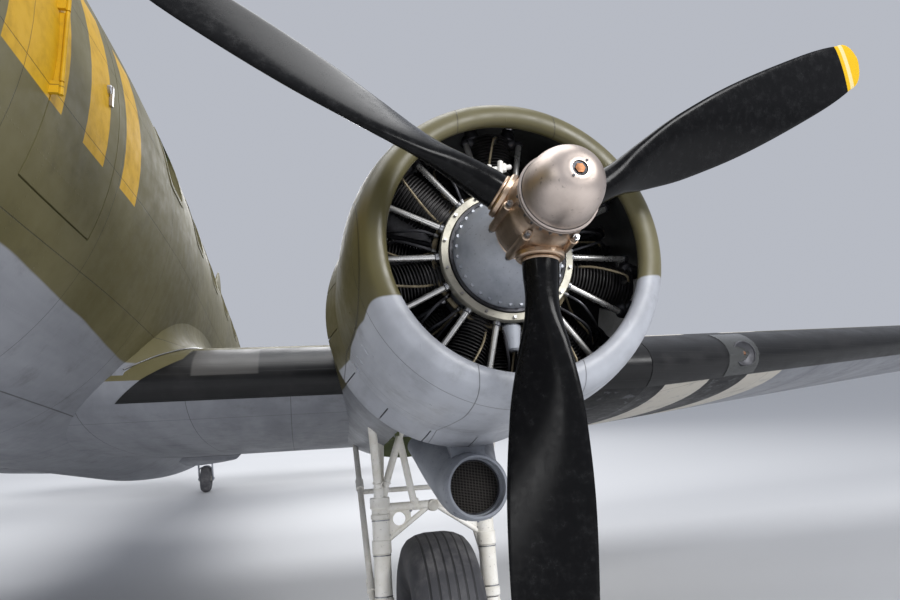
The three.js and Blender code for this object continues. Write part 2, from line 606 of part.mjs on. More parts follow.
// Two rows of seven cylinders, the rear row's between those of the front row.
const CYLINDERS = 7;
const CYLINDER_ROWS = [{ y: 520, shift: 0 }, { y: 740, shift: 0.5 }];
const BARREL = { foot: 240, head: 600, radius: 80, headRadius: 98 };
const around = (angle, radius, y) => [
  ENGINE.x + radius * Math.cos(angle), ENGINE.y + y, radius * Math.sin(angle),
];
const rowAngles = (shift) => Array.from({ length: CYLINDERS }, (_, i) =>
  Math.PI / 2 + ((i + shift) * 2 * Math.PI) / CYLINDERS);
const cylinderAt = (angle, y) =>
  bar(around(angle, BARREL.foot, y), around(angle, BARREL.head, y), BARREL.radius, 6, BARREL.headRadius);
// Two push-rod tubes run from the front of the crankcase to the head of each front cylinder.
const PUSH_ROD = { radius: 12, foot: 255, front: 436, head: 570, spread: 0.224, apart: 0.215, ahead: 60 };
const pushRods = rowAngles(CYLINDER_ROWS[0].shift).flatMap((angle) => [1, -1].map((side) => bar(
  around(angle + side * PUSH_ROD.spread, PUSH_ROD.foot, PUSH_ROD.front),
  around(angle + side * PUSH_ROD.apart, PUSH_ROD.head, CYLINDER_ROWS[0].y - PUSH_ROD.ahead),
  PUSH_ROD.radius, 4,
)));
const cylinders = CYLINDER_ROWS.flatMap(({ y, shift }) =>
  rowAngles(shift).map((angle) => cylinderAt(angle, y)));
const crankcase = turned(behind([
  [0, 160], [105, 160], [150, 240], [228, 360], [282, 406], [282, 424], [262, 440], [262, 880],
  [230, 960 - SEAT], [0, 960 - SEAT],
]), 16, ENGINE.x);
// Each rear cylinder's head is stayed to the cowling.
const stays = rowAngles(CYLINDER_ROWS[1].shift).map((angle) =>
  bar(around(angle, 560, CYLINDER_ROWS[1].y), around(angle, COWL.inner - 4, CYLINDER_ROWS[1].y), 30, 4));
const SHAFT = 45;
const engineSolid = join(
  crankcase, ...cylinders, ...pushRods, ...stays, bar(around(0, 0, 100), around(0, 0, 200), SHAFT, 20),
);

// Propeller: a barrel with three sockets, the pitch dome ahead of it, and three blades.
const BLADE_ANGLES = [25.9, 145.9, 265.9].map(THREE.MathUtils.degToRad);
const SOCKET = { radius: 82, reach: 163 };
const hubBody = turned(behind([
  [0, -199.6], [128, -199.6], [128, -120], [146, -90], [146, 90], [120, 118], [120, 140], [0, 140],
]), 16, ENGINE.x);
const sockets = BLADE_ANGLES.map((angle) =>
  bar(around(angle, 0, 0), around(angle, SOCKET.reach, 0), SOCKET.radius, 10));
const hub = cut(
  join(hubBody, ...sockets),
  bar(around(0, 0, 20), around(0, 0, 201), boreFor(SHAFT, 20), 20),
);
const dome = turned(behind([
  [0, -400], [56, -392], [100, -360], [126, -305], [134, -235], [143, -215], [143, -200], [0, -200],
]), 20, ENGINE.x);
// Columns: radius, chord, thickness, pitch angle.
const BLADE = [
  [SOCKET.reach + SEAT, 134, 134, 45],
  [330, 122, 112, 45],
  [480, 190, 72, 42],
  [700, 262, 46, 36],
  [1000, 290, 34, 29],
  [1400, 262, 22, 22],
  [1660, 200, 14, 19],
  [PROP_RADIUS, 74, 8, 18],
];
const BLADE_SIDES = 10;
function bladeAt(angle) {
  const out = new THREE.Vector3(Math.cos(angle), 0, Math.sin(angle));
  const turnWay = new THREE.Vector3(-Math.sin(angle), 0, Math.cos(angle));
  const aft = new THREE.Vector3(0, 1, 0);
  const centre = new THREE.Vector3(ENGINE.x, ENGINE.y, 0);
  return loft(BLADE.map(([radius, chord, thick, pitch]) => {
    const [c, s] = [Math.cos(THREE.MathUtils.degToRad(pitch)), Math.sin(THREE.MathUtils.degToRad(pitch))];
    const along = turnWay.clone().multiplyScalar(c).addScaledVector(aft, -s);
    const across = turnWay.clone().multiplyScalar(-s).addScaledVector(aft, -c);
    const blunt = Math.min(0.3, Math.max(0, (radius - 330) / 1000));
    return Array.from({ length: BLADE_SIDES }, (_, i) => {
      const t = (2 * Math.PI * i) / BLADE_SIDES;
      return centre.clone().addScaledVector(out, radius)
        .addScaledVector(along, (chord / 2) * Math.cos(t))
        .addScaledVector(across, (thick / 2) * Math.sin(t) * (1 + blunt * Math.cos(t)));
    });
  }));
}

// Exhaust pipe, low on the outboard side, and the oil cooler's scoop under the nacelle.
const EXHAUST = { bend: [470, 4700, -450], mouth: [505, 5250, -475], radius: 92, bore: 84 };
const at = (x, y, z) => [ENGINE.x + x, y, z];
const pipe = join(
  bar(at(415, 4200, -400), at(...EXHAUST.bend), EXHAUST.radius, 12),
  bar(at(...EXHAUST.bend), at(...EXHAUST.mouth), EXHAUST.radius, 12),
);
const pipeBore = bar(at(480, 4850, -457), at(510, 5300, -477), EXHAUST.bore, 12);
const exhaust = cut(pipe, pipeBore, nacelleGrown, middleGrown);
const exhaustRoom = bar(at(405, 4100, -390), at(...EXHAUST.bend), EXHAUST.radius + RUN, 16);
// Columns: station, half width, top, bottom.
const COOLER = [
  [4270, 152, -768, -1072],
  [4300, 164, -756, -1084],
  [4420, 172, -745, -1086],
  [4620, 205, -630, -1000],
  [4840, 255, -560, -780],
];
const COOLER_MOUTH = { z: -920, radius: 140, depth: 70 };
const [scoopFront] = COOLER[0];
const scoop = loft(COOLER.map((row) => bodyRing(row, 16, 0, 2, ENGINE.x)));
const mouth = bar(
  at(0, scoopFront - 70, COOLER_MOUTH.z),
  at(0, scoopFront + COOLER_MOUTH.depth, COOLER_MOUTH.z),
  COOLER_MOUTH.radius, 16,
);
const cooler = cut(
  join(scoop, box(ENGINE.x - 90, ENGINE.x + 90, 4430, 4700, -800, -560)),
  mouth, nacelleShape(SEAT),
);

// Main gear: two legs on a truss of tubes, and a folding brace behind them, about the wheel's axle.
const LEG = { x: 350, half: 35, y: 5560, fork: -985, oleoEnd: -1600, pistonEnd: -1560 };
const AXLE = { radius: 38, reach: 440, lug: 66 };
const TRUSS_TOP = -300;
// Where the truss tubes end inside the nacelle. Columns: across, station, radius.
const TRUSS = [
  [430, 5200, 29],
  [300, 5720, 27],
  [120, 5474, 25],
];
// Half of the cross frame between the legs: an upright strut and a slanting one, as [from, to, radius].
const CROSS_Z = LEG.fork - 20;
const CROSS_FRAME = [
  [[120, LEG.y, CROSS_Z], [208, 5507, -560], 25],
  [[LEG.x, LEG.y, -1230], [20, LEG.y, CROSS_Z - 6], 17],
];
const onAxle = (x0, x1, radius, sides) =>
  bar(at(x0, WHEEL.y, WHEEL.z), at(x1, WHEEL.y, WHEEL.z), radius, sides);
const legs = [1, -1].map((side) => {
  const fork = at(side * LEG.x, LEG.y, LEG.fork);
  return join(
    onAxle(side * (LEG.x - LEG.half), side * (LEG.x + LEG.half), AXLE.lug, 10),
    bar(at(side * LEG.x, WHEEL.y, WHEEL.z), at(side * LEG.x, LEG.y, LEG.pistonEnd), 38, 8),
    bar(at(side * LEG.x, LEG.y, LEG.oleoEnd), at(side * LEG.x, LEG.y, LEG.fork + 30), 58, 8),
    ...TRUSS.map(([x, y, radius]) => bar(fork, at(side * x, y, TRUSS_TOP), radius, 5)),
    ...CROSS_FRAME.map(([[x0, ...from], [x1, ...to], radius]) =>
      bar(at(side * x0, ...from), at(side * x1, ...to), radius, 5)),
  );
});
const gearFrame = cut(
  join(
    ...legs,
    onAxle(-AXLE.reach, AXLE.reach, AXLE.radius, 16),
    bar(at(-LEG.x, LEG.y, CROSS_Z), at(LEG.x, LEG.y, CROSS_Z), 30, 6),
  ),
  nacelleGrown, middleGrown,
);
const EYE = { x: 410, half: 18, radius: 58 };
const BRACE = { top: [400, 7000], bar: [404, 6450, -886] };
const eyes = [1, -1].map((side) => join(
  onAxle(side * (EYE.x - EYE.half), side * (EYE.x + EYE.half), EYE.radius, 10),
  bar(
    at(side * EYE.x, WHEEL.y + 20, WHEEL.z + 22),
    at(side * BRACE.top[0], BRACE.top[1], TRUSS_TOP), 24, 6,
  ),
));
const [crossX, ...crossAt] = BRACE.bar;
const gearBrace = cut(
  join(...eyes, bar(at(-crossX, ...crossAt), at(crossX, ...crossAt), 20, 6)),
  onAxle(-600, 600, AXLE.radius + SEAT, 16),
  nacelleGrown, middleGrown,
);

// Wheels. Profiles hold [radius, distance from the wheel's middle]; one half is drawn and mirrored.
const RIM = { main: 204, tail: 118 };
const bothHalves = (half) => [...half, ...half.toReversed().map(([radius, x]) => [radius, -x])];
// Its flats touch the radii of the profile, and one of them lies on the ground, which slopes by tilt.
function wheelShape(half, sides, tilt, x, y, z) {
  const profile = bothHalves(half);
  const grow = 1 / Math.cos(Math.PI / sides);
  const points = [...profile, profile[0]].map(([radius, across]) =>
    new THREE.Vector2(radius * grow, across));
  const shape = new THREE.LatheGeometry(points, sides).rotateZ(Math.PI / 2);
  return solid(shape.rotateX(Math.PI / sides + tilt - Math.PI).translate(x, y, z));
}
const MAIN_TYRE = [[RIM.main, 145], [300, 208], [430, 224], [525, 175], [WHEEL.radius, 70]];
const MAIN_HUB = [[AXLE.radius + PIN_GAP, 225], [84, 225], [110, 105], [RIM.main - SEAT, 145]];
const tyre = wheelShape(MAIN_TYRE, 28, GROUND_ANGLE, ENGINE.x, WHEEL.y, WHEEL.z);
const wheel = wheelShape(MAIN_HUB, 28, GROUND_ANGLE, ENGINE.x, WHEEL.y, WHEEL.z);

// Tail wheel, drawn upright on the ground: its own frame's origin is under the swivel.
const [SIN, COS] = [Math.sin(GROUND_ANGLE), Math.cos(GROUND_ANGLE)];
const heightOf = (y, z) => -y * SIN + z * COS;
const ground = heightOf(WHEEL.y, WHEEL.z) - WHEEL.radius;
const aftOf = (y, z) => y * COS + z * SIN;
const tailFrame = new THREE.Matrix4().makeRotationX(GROUND_ANGLE)
  .multiply(new THREE.Matrix4().makeTranslation(0, aftOf(TAIL_WHEEL.y, 0), ground));
const inTail = (shape) => solid(geometryOf(shape).applyMatrix4(tailFrame));
const TAIL_AXLE = 20;
const FORK = { inner: 128, outer: 150, crown: 600, stem: 32, top: 880, half: 60, foot: 46 };
const { trail, radius: tailHeight } = TAIL_WHEEL;
// The side of a fork leg, as pairs of station and height, from its axle end up to the crown.
const FORK_SIDE = [
  [trail - FORK.foot, tailHeight],
  [trail + FORK.foot, tailHeight],
  [FORK.half, FORK.crown + 20],
  [-FORK.half, FORK.crown + 20],
];
const forkLegs = [1, -1].map((side) => join(
  bar([side * FORK.inner, trail, tailHeight], [side * FORK.outer, trail, tailHeight], 48, 12),
  loft([FORK.inner, FORK.outer].map((x) =>
    FORK_SIDE.map(([y, z]) => new THREE.Vector3(side * x, y, z)))),
));
const tailFork = join(
  ...forkLegs,
  box(-FORK.outer, FORK.outer, -FORK.half, FORK.half, FORK.crown, FORK.crown + 50),
  bar([0, 0, FORK.crown + 10], [0, 0, FORK.top], FORK.stem, 16),
  bar([-FORK.outer, trail, tailHeight], [FORK.outer, trail, tailHeight], TAIL_AXLE, 12),
);
const STRUT = { radius: 62, top: 1200, stay: [[0, 20, 760], [0, 420, 1150]] };
const tailStrut = cut(
  join(
    bar([0, 0, FORK.crown + 56], [0, 0, STRUT.top], STRUT.radius, 12),
    bar(...STRUT.stay, 30, 8),
  ),
  bar([0, 0, FORK.crown], [0, 0, FORK.top + 5], boreFor(FORK.stem, 16), 16),
  solid(geometryOf(hullGrown).applyMatrix4(tailFrame.clone().invert())),
);
const TAIL_TYRE = [[RIM.tail, 70], [190, 110], [262, 80], [tailHeight, 32]];
const TAIL_HUB = [[TAIL_AXLE + PIN_GAP, 118], [50, 118], [RIM.tail - SEAT, 70]];

// Finishes
const finish = (color, roughness, metalness = 0) =>
  new THREE.MeshStandardMaterial({ color, roughness, metalness });
const OLIVE = finish(0x4c4a2e, 0.7);
const GREEN_PRIMER = finish(0x5b6244, 0.8);
const FLOOR_METAL = finish(0x8b8c88, 0.5, 0.8);
const GLAZING = finish(0xdfe6e4, 0.05);
GLAZING.transparent = true;
GLAZING.opacity = 0.35;
const COWL_GREY = finish(0xa9adb4, 0.5);
const ENGINE_GREY = finish(0x4f545b, 0.45, 0.6);
const HUB_BRONZE = finish(0x9c8a75, 0.35, 1);
const DOME_SILVER = finish(0xd8d2cc, 0.3, 1);
const BLADE_BLACK = finish(0x101012, 0.15);
const EXHAUST_STEEL = finish(0x5a4c42, 0.6, 0.9);
const COOLER_GREY = finish(0x7b7c7e, 0.5);
const GEAR_CREAM = finish(0xc9c3b4, 0.5);
const RUBBER = finish(0x1d1d1f, 0.85);
const WHEEL_GREY = finish(0x8d8b84, 0.5);

// Assembly
const aircraft = new THREE.Group();
function add(name, shape, material, mirrored = false, shift = 0) {
  const bodies = shape.simplify(TIDY).decompose().sort((a, b) => b.volume() - a.volume());
  const mesh = new THREE.Mesh(geometryOf(bodies[0]), material);
  mesh.name = name;
  if (mirrored) mesh.scale.x = -1;
  mesh.position.x = shift;
  aircraft.add(mesh);
}
add("fuselage_nose", noseSection, OLIVE);
add("fuselage_centre", centreSection, OLIVE);
add("fuselage_rear", rearSection, OLIVE);
add("fuselage_tail", tailSection, OLIVE);
add("cockpit_glazing", glazing, GLAZING);
add("cockpit_interior", cockpit, GREEN_PRIMER);
add("cabin_floor", floor, FLOOR_METAL);
add("crew_door", crewDoor.leaf, OLIVE);
add("cargo_door_front", cargoFront.leaf, OLIVE);
add("cargo_door_rear", cargoRear.leaf, OLIVE);
add("wing_centre", wingCentre, OLIVE);
add("flap_inner_port", portFlap.moving, OLIVE);
add("flap_inner_starboard", bothFlaps.moving, OLIVE);
add("tailplane", tailplane, OLIVE);
add("fin", fin, OLIVE);
add("rudder", rudderSplit.moving, OLIVE);
add("elevator_port", portElevator.moving, OLIVE);
add("elevator_starboard", bothElevators.moving, OLIVE);
add("tail_strut", inTail(tailStrut), COOLER_GREY);
add("tail_fork", inTail(tailFork), COOLER_GREY);
add("tail_tyre", inTail(wheelShape(TAIL_TYRE, 20, 0, 0, trail, tailHeight)), RUBBER);
add("tail_wheel", inTail(wheelShape(TAIL_HUB, 20, 0, 0, trail, tailHeight)), WHEEL_GREY);
for (const [side, mirrored] of [["port", false], ["starboard", true]]) {
  add(`wing_outer_${side}`, outerFlap.carrier, OLIVE, mirrored);
  add(`cabin_panes_${side}`, panes, GLAZING, mirrored);
  add(`aileron_${side}`, aileronSplit.moving, OLIVE, mirrored);
  add(`flap_outer_${side}`, outerFlap.moving, OLIVE, mirrored);
  add(`nacelle_${side}`, nacelle, COWL_GREY, mirrored);
  add(`cowling_${side}`, cowling, COWL_GREY, mirrored);
  add(`cowl_gills_${side}`, cut(gills, exhaustRoom), COWL_GREY, mirrored);
  add(`exhaust_${side}`, exhaust, EXHAUST_STEEL, mirrored);
  add(`oil_cooler_${side}`, cooler, COOLER_GREY, mirrored);
  add(`gear_frame_${side}`, gearFrame, GEAR_CREAM, mirrored);
  add(`gear_brace_${side}`, gearBrace, GEAR_CREAM, mirrored);
  add(`tyre_${side}`, tyre, RUBBER, mirrored);
  add(`wheel_${side}`, wheel, WHEEL_GREY, mirrored);
  const shift = mirrored ? -2 * ENGINE.x : 0;
  add(`engine_${side}`, engineSolid, ENGINE_GREY, false, shift);
  add(`prop_hub_${side}`, hub, HUB_BRONZE, false, shift);
  add(`prop_dome_${side}`, dome, DOME_SILVER, false, shift);
  BLADE_ANGLES.forEach((angle, i) => {
    add(`prop_blade_${i + 1}_${side}`, bladeAt(angle), BLADE_BLACK, false, shift);
  });
}

// The whole aeroplane, at its ground angle, over the origin and standing on Z = 0.
aircraft.rotation.x = -GROUND_ANGLE;
const model = new THREE.Group();
model.add(aircraft);
const extent = new THREE.Box3().setFromObject(model, true);
aircraft.position.set(0, -(extent.min.y + extent.max.y) / 2, -ground);
export default model;
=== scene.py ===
# A twin-engine military transport aeroplane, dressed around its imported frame.
# Shapes are drawn in the aeroplane's own frame, in metres: X to port, Y aft from the tip of the nose,
# Z up from the thrust line. TO_GROUND then stands them where the parked frame has them.
import math

import bmesh
import bpy
import numpy as np
from mathutils import Matrix, Vector


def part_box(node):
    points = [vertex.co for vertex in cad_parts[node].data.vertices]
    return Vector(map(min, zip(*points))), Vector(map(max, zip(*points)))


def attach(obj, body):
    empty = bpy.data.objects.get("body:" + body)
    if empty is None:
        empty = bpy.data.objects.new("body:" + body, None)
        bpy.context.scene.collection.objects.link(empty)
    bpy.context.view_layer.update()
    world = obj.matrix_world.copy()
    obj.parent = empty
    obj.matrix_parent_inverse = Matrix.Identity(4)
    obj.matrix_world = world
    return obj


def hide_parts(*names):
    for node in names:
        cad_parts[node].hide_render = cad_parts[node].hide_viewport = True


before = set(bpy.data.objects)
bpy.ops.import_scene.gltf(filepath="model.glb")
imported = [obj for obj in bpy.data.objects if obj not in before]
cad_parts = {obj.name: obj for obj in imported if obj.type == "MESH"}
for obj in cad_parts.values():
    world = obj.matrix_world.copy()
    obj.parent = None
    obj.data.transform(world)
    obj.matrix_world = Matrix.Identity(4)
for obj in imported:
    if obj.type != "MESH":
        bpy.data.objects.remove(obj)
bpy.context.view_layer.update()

# The frame's own numbers
GROUND_ANGLE = math.radians(8.8)
SIN, COS = math.sin(GROUND_ANGLE), math.cos(GROUND_ANGLE)
ENGINE_X, PROP_Y, PROP_RADIUS = 2.82, 3.05, 1.753
WHEEL_Y, WHEEL_Z = 5.55, -1.74
axle_low, axle_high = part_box("wheel_port")
axle = (axle_low + axle_high) / 2
SHIFT_Y = axle.y - (WHEEL_Y * COS + WHEEL_Z * SIN)
SHIFT_Z = axle.z - (WHEEL_Z * COS - WHEEL_Y * SIN)
TO_GROUND = Matrix.Translation((0, SHIFT_Y, SHIFT_Z)) @ Matrix.Rotation(-GROUND_ANGLE, 4, "X")
SIDES = {"port": 1, "starboard": -1}
# Between pieces that touch, and round what turns on a hinge
PARTING, HINGE_GAP = 0.0004, 0.008


# Meshes
def link(mesh):
    obj = bpy.data.objects.new("part", mesh)
    bpy.context.scene.collection.objects.link(obj)
    return obj


def settle(mesh, joined=False):
    """Turns the faces outward. If joined, points in one place become one."""
    bm = bmesh.new()
    bm.from_mesh(mesh)
    if joined:
        bmesh.ops.remove_doubles(bm, verts=bm.verts, dist=1e-5)
    bmesh.ops.recalc_face_normals(bm, faces=bm.faces)
    bm.to_mesh(mesh)
    bm.free()


def shape(verts, faces, joined=False):
    mesh = bpy.data.meshes.new("part")
    mesh.from_pydata([tuple(v) for v in verts], [], faces)
    settle(mesh, joined)
    return link(mesh)


def combine(obj, tool, how="DIFFERENCE"):
    """Applies a boolean step to the object and uses up the tool."""
    step = obj.modifiers.new("cut", "BOOLEAN")
    step.object = tool
    step.operation = how
    step.solver = "MANIFOLD"
    bpy.context.view_layer.update()
    graph = bpy.context.evaluated_depsgraph_get()
    mesh = bpy.data.meshes.new_from_object(obj.evaluated_get(graph))
    obj.modifiers.clear()
    old = obj.data
    obj.data = mesh
    bpy.data.meshes.remove(old)
    bpy.data.objects.remove(tool)
    return obj


def cut(obj, *tools):
    for tool in tools:
        combine(obj, tool)
    return obj


def keep(obj, tool):
    return combine(obj, tool, "INTERSECT")


def fuse(obj, tool):
    return combine(obj, tool, "UNION")


def copy_of(obj):
    return link(obj.data.copy())


def placed(obj, m):
    obj.data.transform(m)
    return obj


def sided(obj, side):
    """Mirrors a piece drawn on the port side when it is for starboard."""
    if side < 0:
        placed(obj, Matrix.Scale(-1, 4, (1, 0, 0)))
        obj.data.flip_normals()
    return obj


def circle(count, shift=0.0):
    """Evenly spaced angles of a full turn."""
    return [2 * math.pi * (k + shift) / count for k in range(count)]


def loft(rings):
    """A skin through rings of equally many points, with flat ends."""
    count = len(rings[0])
    verts = [p for ring in rings for p in ring]
    faces = []
    for i in range(len(rings) - 1):
        for j in range(count):
            p, q = i * count + j, i * count + (j + 1) % count
            faces.append((p, q, q + count, p + count))
    faces.append(tuple(range(count))[::-1])
    faces.append(tuple(range(len(verts) - count, len(verts))))
    return shape(verts, faces)


def slab(outline, near, far):
    """An outline in X and Z, drawn out along Y."""
    return loft([[(x, y, z) for x, z in outline] for y in sorted((near, far))])


def block(x0, x1, y0, y1, z0, z1):
    x0, x1 = sorted((x0, x1))
    z0, z1 = sorted((z0, z1))
    return slab([(x0, z0), (x1, z0), (x1, z1), (x0, z1)], y0, y1)


def rounded(y0, y1, z0, z1, x0, x1, radius):
    """A block along X whose outline in Y and Z has rounded corners."""
    ring = []
    for cy, cz, start in ((y1 - radius, z1 - radius, 0), (y0 + radius, z1 - radius, 90),
                          (y0 + radius, z0 + radius, 180), (y1 - radius, z0 + radius, 270)):
        for t in (math.radians(start + k * 18) for k in range(6)):
            ring.append((cy + radius * math.cos(t), cz + radius * math.sin(t)))
    return loft([[(x, y, z) for y, z in ring] for x in (x0, x1)])


def axes(along):
    """Two directions square to a third."""
    along = Vector(along).normalized()
    side = along.cross(Vector((0, 0, 1)) if abs(along.z) < 0.9 else Vector((1, 0, 0))).normalized()
    return side, along.cross(side)


def spin(profile, sides, origin=(0, 0, 0), along=(0, 1, 0), closed=False):
    """Turns pairs of radius and distance about a line. A closed profile makes a ring."""
    origin, along = Vector(origin), Vector(along).normalized()
    u, v = axes(along)
    verts, faces, count = [], [], len(profile)
    for t in circle(sides):
        out = u * math.cos(t) + v * math.sin(t)
        verts += [origin + out * r + along * d for r, d in profile]
    for i in range(sides):
        for j in range(count if closed else count - 1):
            a, b = i * count + j, i * count + (j + 1) % count
            faces.append((a, b, (b + count) % len(verts), (a + count) % len(verts)))
    return shape(verts, faces, True)


def rod(a, b, radius, sides=20, end=None, bevel=0.0):
    a, b = Vector(a), Vector(b)
    length = (b - a).length
    end = radius if end is None else end
    rim = min(bevel, radius * 0.5, end * 0.5)
    side = [(radius, 0), (end, length)]
    if rim:
        side = [(radius - rim, 0), (radius, rim), (end, length - rim), (end - rim, length)]
    return spin([(0, 0), *side, (0, length)], sides, a, b - a)


def smooth_path(points, steps=6):
    """More points on a curve that runs through the given ones."""
    if len(points) < 3:
        return points
    out = []
    ends = [points[0] * 2 - points[1], *points, points[-1] * 2 - points[-2]]
    for i in range(1, len(ends) - 2):
        a, b, c, d = ends[i - 1:i + 3]
        for t in (k / steps for k in range(steps)):
            out.append(0.5 * (2 * b + (c - a) * t + (2 * a - 5 * b + 4 * c - d) * t ** 2
                              + (3 * b - a - 3 * c + d) * t ** 3))
    return [*out, points[-1]]


def curve_through(points, steps):
    return [tuple(p[:2]) for p in smooth_path([Vector((a, b, 0)) for a, b in points], steps)]


def tube(points, radius, sides=10):
    """A bent pipe through points, with rounded corners."""
    path = smooth_path([Vector(p) for p in points])
    rings, side = [], None
    for i, p in enumerate(path):
        ahead = (path[min(i + 1, len(path) - 1)] - path[max(i - 1, 0)]).normalized()
        if side is None:
            side = axes(ahead)[0]
        side = (side - ahead * side.dot(ahead)).normalized()
        other = ahead.cross(side)
        rings.append([p + (side * math.cos(t) + other * math.sin(t)) * radius for t in circle(sides)])
    return loft(rings)


def merge(objs):
    """Several objects as one, with their materials."""
    slots, bm = [], bmesh.new()
    for obj in objs:
        start = len(bm.faces)
        bm.from_mesh(obj.data)
        bm.faces.ensure_lookup_table()
        slots += [m for m in obj.data.materials if m not in slots]
        remap = [slots.index(m) for m in obj.data.materials]
        for face in bm.faces[start:]:
            face.material_index = remap[face.material_index]
    mesh = bpy.data.meshes.new("part")
    bm.to_mesh(mesh)
    bm.free()
    for m in slots:
        mesh.materials.append(m)
    for obj in objs:
        bpy.data.objects.remove(obj)
    return link(mesh)


def paint(obj, *materials):
    obj.data.materials.clear()
    for material in materials:
        obj.data.materials.append(material)
    return obj


def painted(material, *objs):
    return [paint(obj, material) for obj in objs]


def repaint(obj, pick):
    """Gives each face the material whose place in the list is picked from its centre and normal."""
    for face in obj.data.polygons:
        face.material_index = int(pick(face.center, face.normal))
    return obj


def dress(obj, name, body="airframe", slot="airframe_paint", replaces=(), material=None, angle=35):
    """Stands a finished piece on the ground frame and fastens it to its body."""
    if material:
        paint(obj, material)
    for face in obj.data.polygons:
        face.use_smooth = True
    obj.data.set_sharp_from_angle(angle=math.radians(angle))
    obj.name = obj.data.name = name
    obj.data.transform(TO_GROUND)
    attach(obj, body)
    if replaces:
        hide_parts(*replaces)


def both(piece, name, node=None, body="airframe", slot="airframe_paint", shift=False, material=None, angle=35):
    """Dresses a port piece and its starboard twin: mirrored, or the same hand and only moved."""
    other = copy_of(piece)
    if shift:
        placed(other, Matrix.Translation((-2 * ENGINE_X, 0, 0)))
    else:
        sided(other, -1)
    for word, obj in zip(SIDES, (piece, other)):
        fixed = body == "airframe"
        dress(obj, f"{name}_{word}", body if fixed else f"{body}_{word}", slot,
              [f"{node}_{word}"] if node else (), material, angle)


# Tables of the frame. Columns: station, half width, top, bottom.
HULL = [
    [0, 0.07, 0.37, 0.23], [0.06, 0.24, 0.56, 0.07], [0.25, 0.47, 0.79, -0.15], [0.6, 0.7, 1.01, -0.33],
    [1.15, 0.88, 1.23, -0.45], [1.9, 0.99, 1.6, -0.51], [2.6, 1.05, 2.02, -0.53], [3.4, 1.11, 2.09, -0.535],
    [4.6, 1.215, 2.115, -0.535], [5.6, 1.25, 2.12, -0.535], [9.6, 1.25, 2.12, -0.535],
    [11.0, 1.215, 2.105, -0.475], [12.5, 1.11, 2.065, -0.3], [14.5, 0.88, 1.965, 0.01],
    [16.2, 0.62, 1.83, 0.29], [17.5, 0.4, 1.66, 0.55], [18.6, 0.225, 1.45, 0.785], [19.25, 0.125, 1.3, 0.93],
    [19.31, 0.085, 1.25, 0.98], [19.335, 0.03, 1.16, 1.06],
]
CANOPY = [
    [1.0, 0.7, 1.8, 0.7], [1.5, 0.85, 1.95, 0.65], [2.0, 0.94, 2.05, 0.6], [2.6, 1.03, 2.085, 0.6],
    [2.85, 1.055, 2.088, 0.6], [3.45, 0.94, 2.05, 0.1],
]
NACELLE = [
    [4.01, 0.54, 0.54, -0.54], [4.25, 0.575, 0.575, -0.58], [4.6, 0.615, 0.6, -0.63], [5.1, 0.64, 0.58, -0.655],
    [5.7, 0.65, 0.52, -0.665], [6.3, 0.64, 0.43, -0.65], [7.0, 0.59, 0.29, -0.61], [7.7, 0.49, 0.11, -0.54],
    [8.3, 0.33, -0.06, -0.44], [8.65, 0.15, -0.19, -0.34],
]
SCOOP = [
    [4.27, 0.152, -0.768, -1.072], [4.3, 0.164, -0.756, -1.084], [4.42, 0.172, -0.745, -1.086],
    [4.62, 0.205, -0.63, -1.0], [4.84, 0.255, -0.56, -0.78],
]


def row_at(table, at):
    """A table's row at any station, by straight lines."""
    table = np.array(table, float)
    return [at, *(float(np.interp(at, table[:, 0], column)) for column in table.T[1:])]


def eased(table, at):
    """A table's rows at any stations, by monotone cubic curves."""
    table = np.array(table, float)
    x, y = table[:, 0], table[:, 1:]
    h = np.diff(x)[:, None]
    slope = np.diff(y, axis=0) / h
    m = np.zeros_like(y)
    same = slope[:-1] * slope[1:] > 0
    w1, w2 = 2 * h[1:] + h[:-1], h[1:] + 2 * h[:-1]
    with np.errstate(divide="ignore", invalid="ignore"):
        m[1:-1] = np.where(same, (w1 + w2) / (w1 / slope[:-1] + w2 / slope[1:]), 0)
    m[0], m[-1] = slope[0], slope[-1]
    at = np.atleast_1d(at)
    i = np.clip(np.searchsorted(x, at) - 1, 0, len(x) - 2)
    t = ((at - x[i]) / (x[i + 1] - x[i]))[:, None]
    rows = (y[i] * (2 * t ** 3 - 3 * t ** 2 + 1) + h[i] * m[i] * (t ** 3 - 2 * t ** 2 + t)
            + y[i + 1] * (3 * t ** 2 - 2 * t ** 3) + h[i] * m[i + 1] * (t ** 3 - t ** 2))
    return np.column_stack([at, rows])


def stations(table, step, start=None, end=None):
    start = table[0][0] if start is None else start
    end = table[-1][0] if end is None else end
    return np.linspace(start, end, max(2, round((end - start) / step)))


def body_ring(row, sides=96, grow=0.0, power=2.0, x=0.0):
    y, half, top, bottom = row
    middle, height = (top + bottom) / 2, (top - bottom) / 2
    bend = lambda v: math.copysign(abs(v) ** (2 / power), v)
    return [(x + (half + grow) * bend(math.cos(t)), y, middle + (height + grow) * bend(math.sin(t)))
            for t in circle(sides, 0.5)]


# The windscreen's two flat faces meet at its middle post.
SCREEN_FOOT = Vector((0, 1.13, 1.27))
SCREEN_UP = Vector((0, 0.62, 0.64)).normalized()
SCREEN_OUT = Vector((0.8, 0.4, -0.03)).normalized()
SCREEN_AHEAD = SCREEN_OUT.cross(SCREEN_UP).normalized()


def screen_block(side, depth, outs, ups, aheads):
    """A block on one face of the windscreen, set back by a depth."""
    m = Matrix((SCREEN_OUT, SCREEN_UP, SCREEN_AHEAD)).transposed().to_4x4()
    m.translation = SCREEN_FOOT - SCREEN_AHEAD * depth
    obj = placed(block(*outs, *ups, *aheads), Matrix.Scale(side, 4, (1, 0, 0)) @ m)
    settle(obj.data)
    return obj


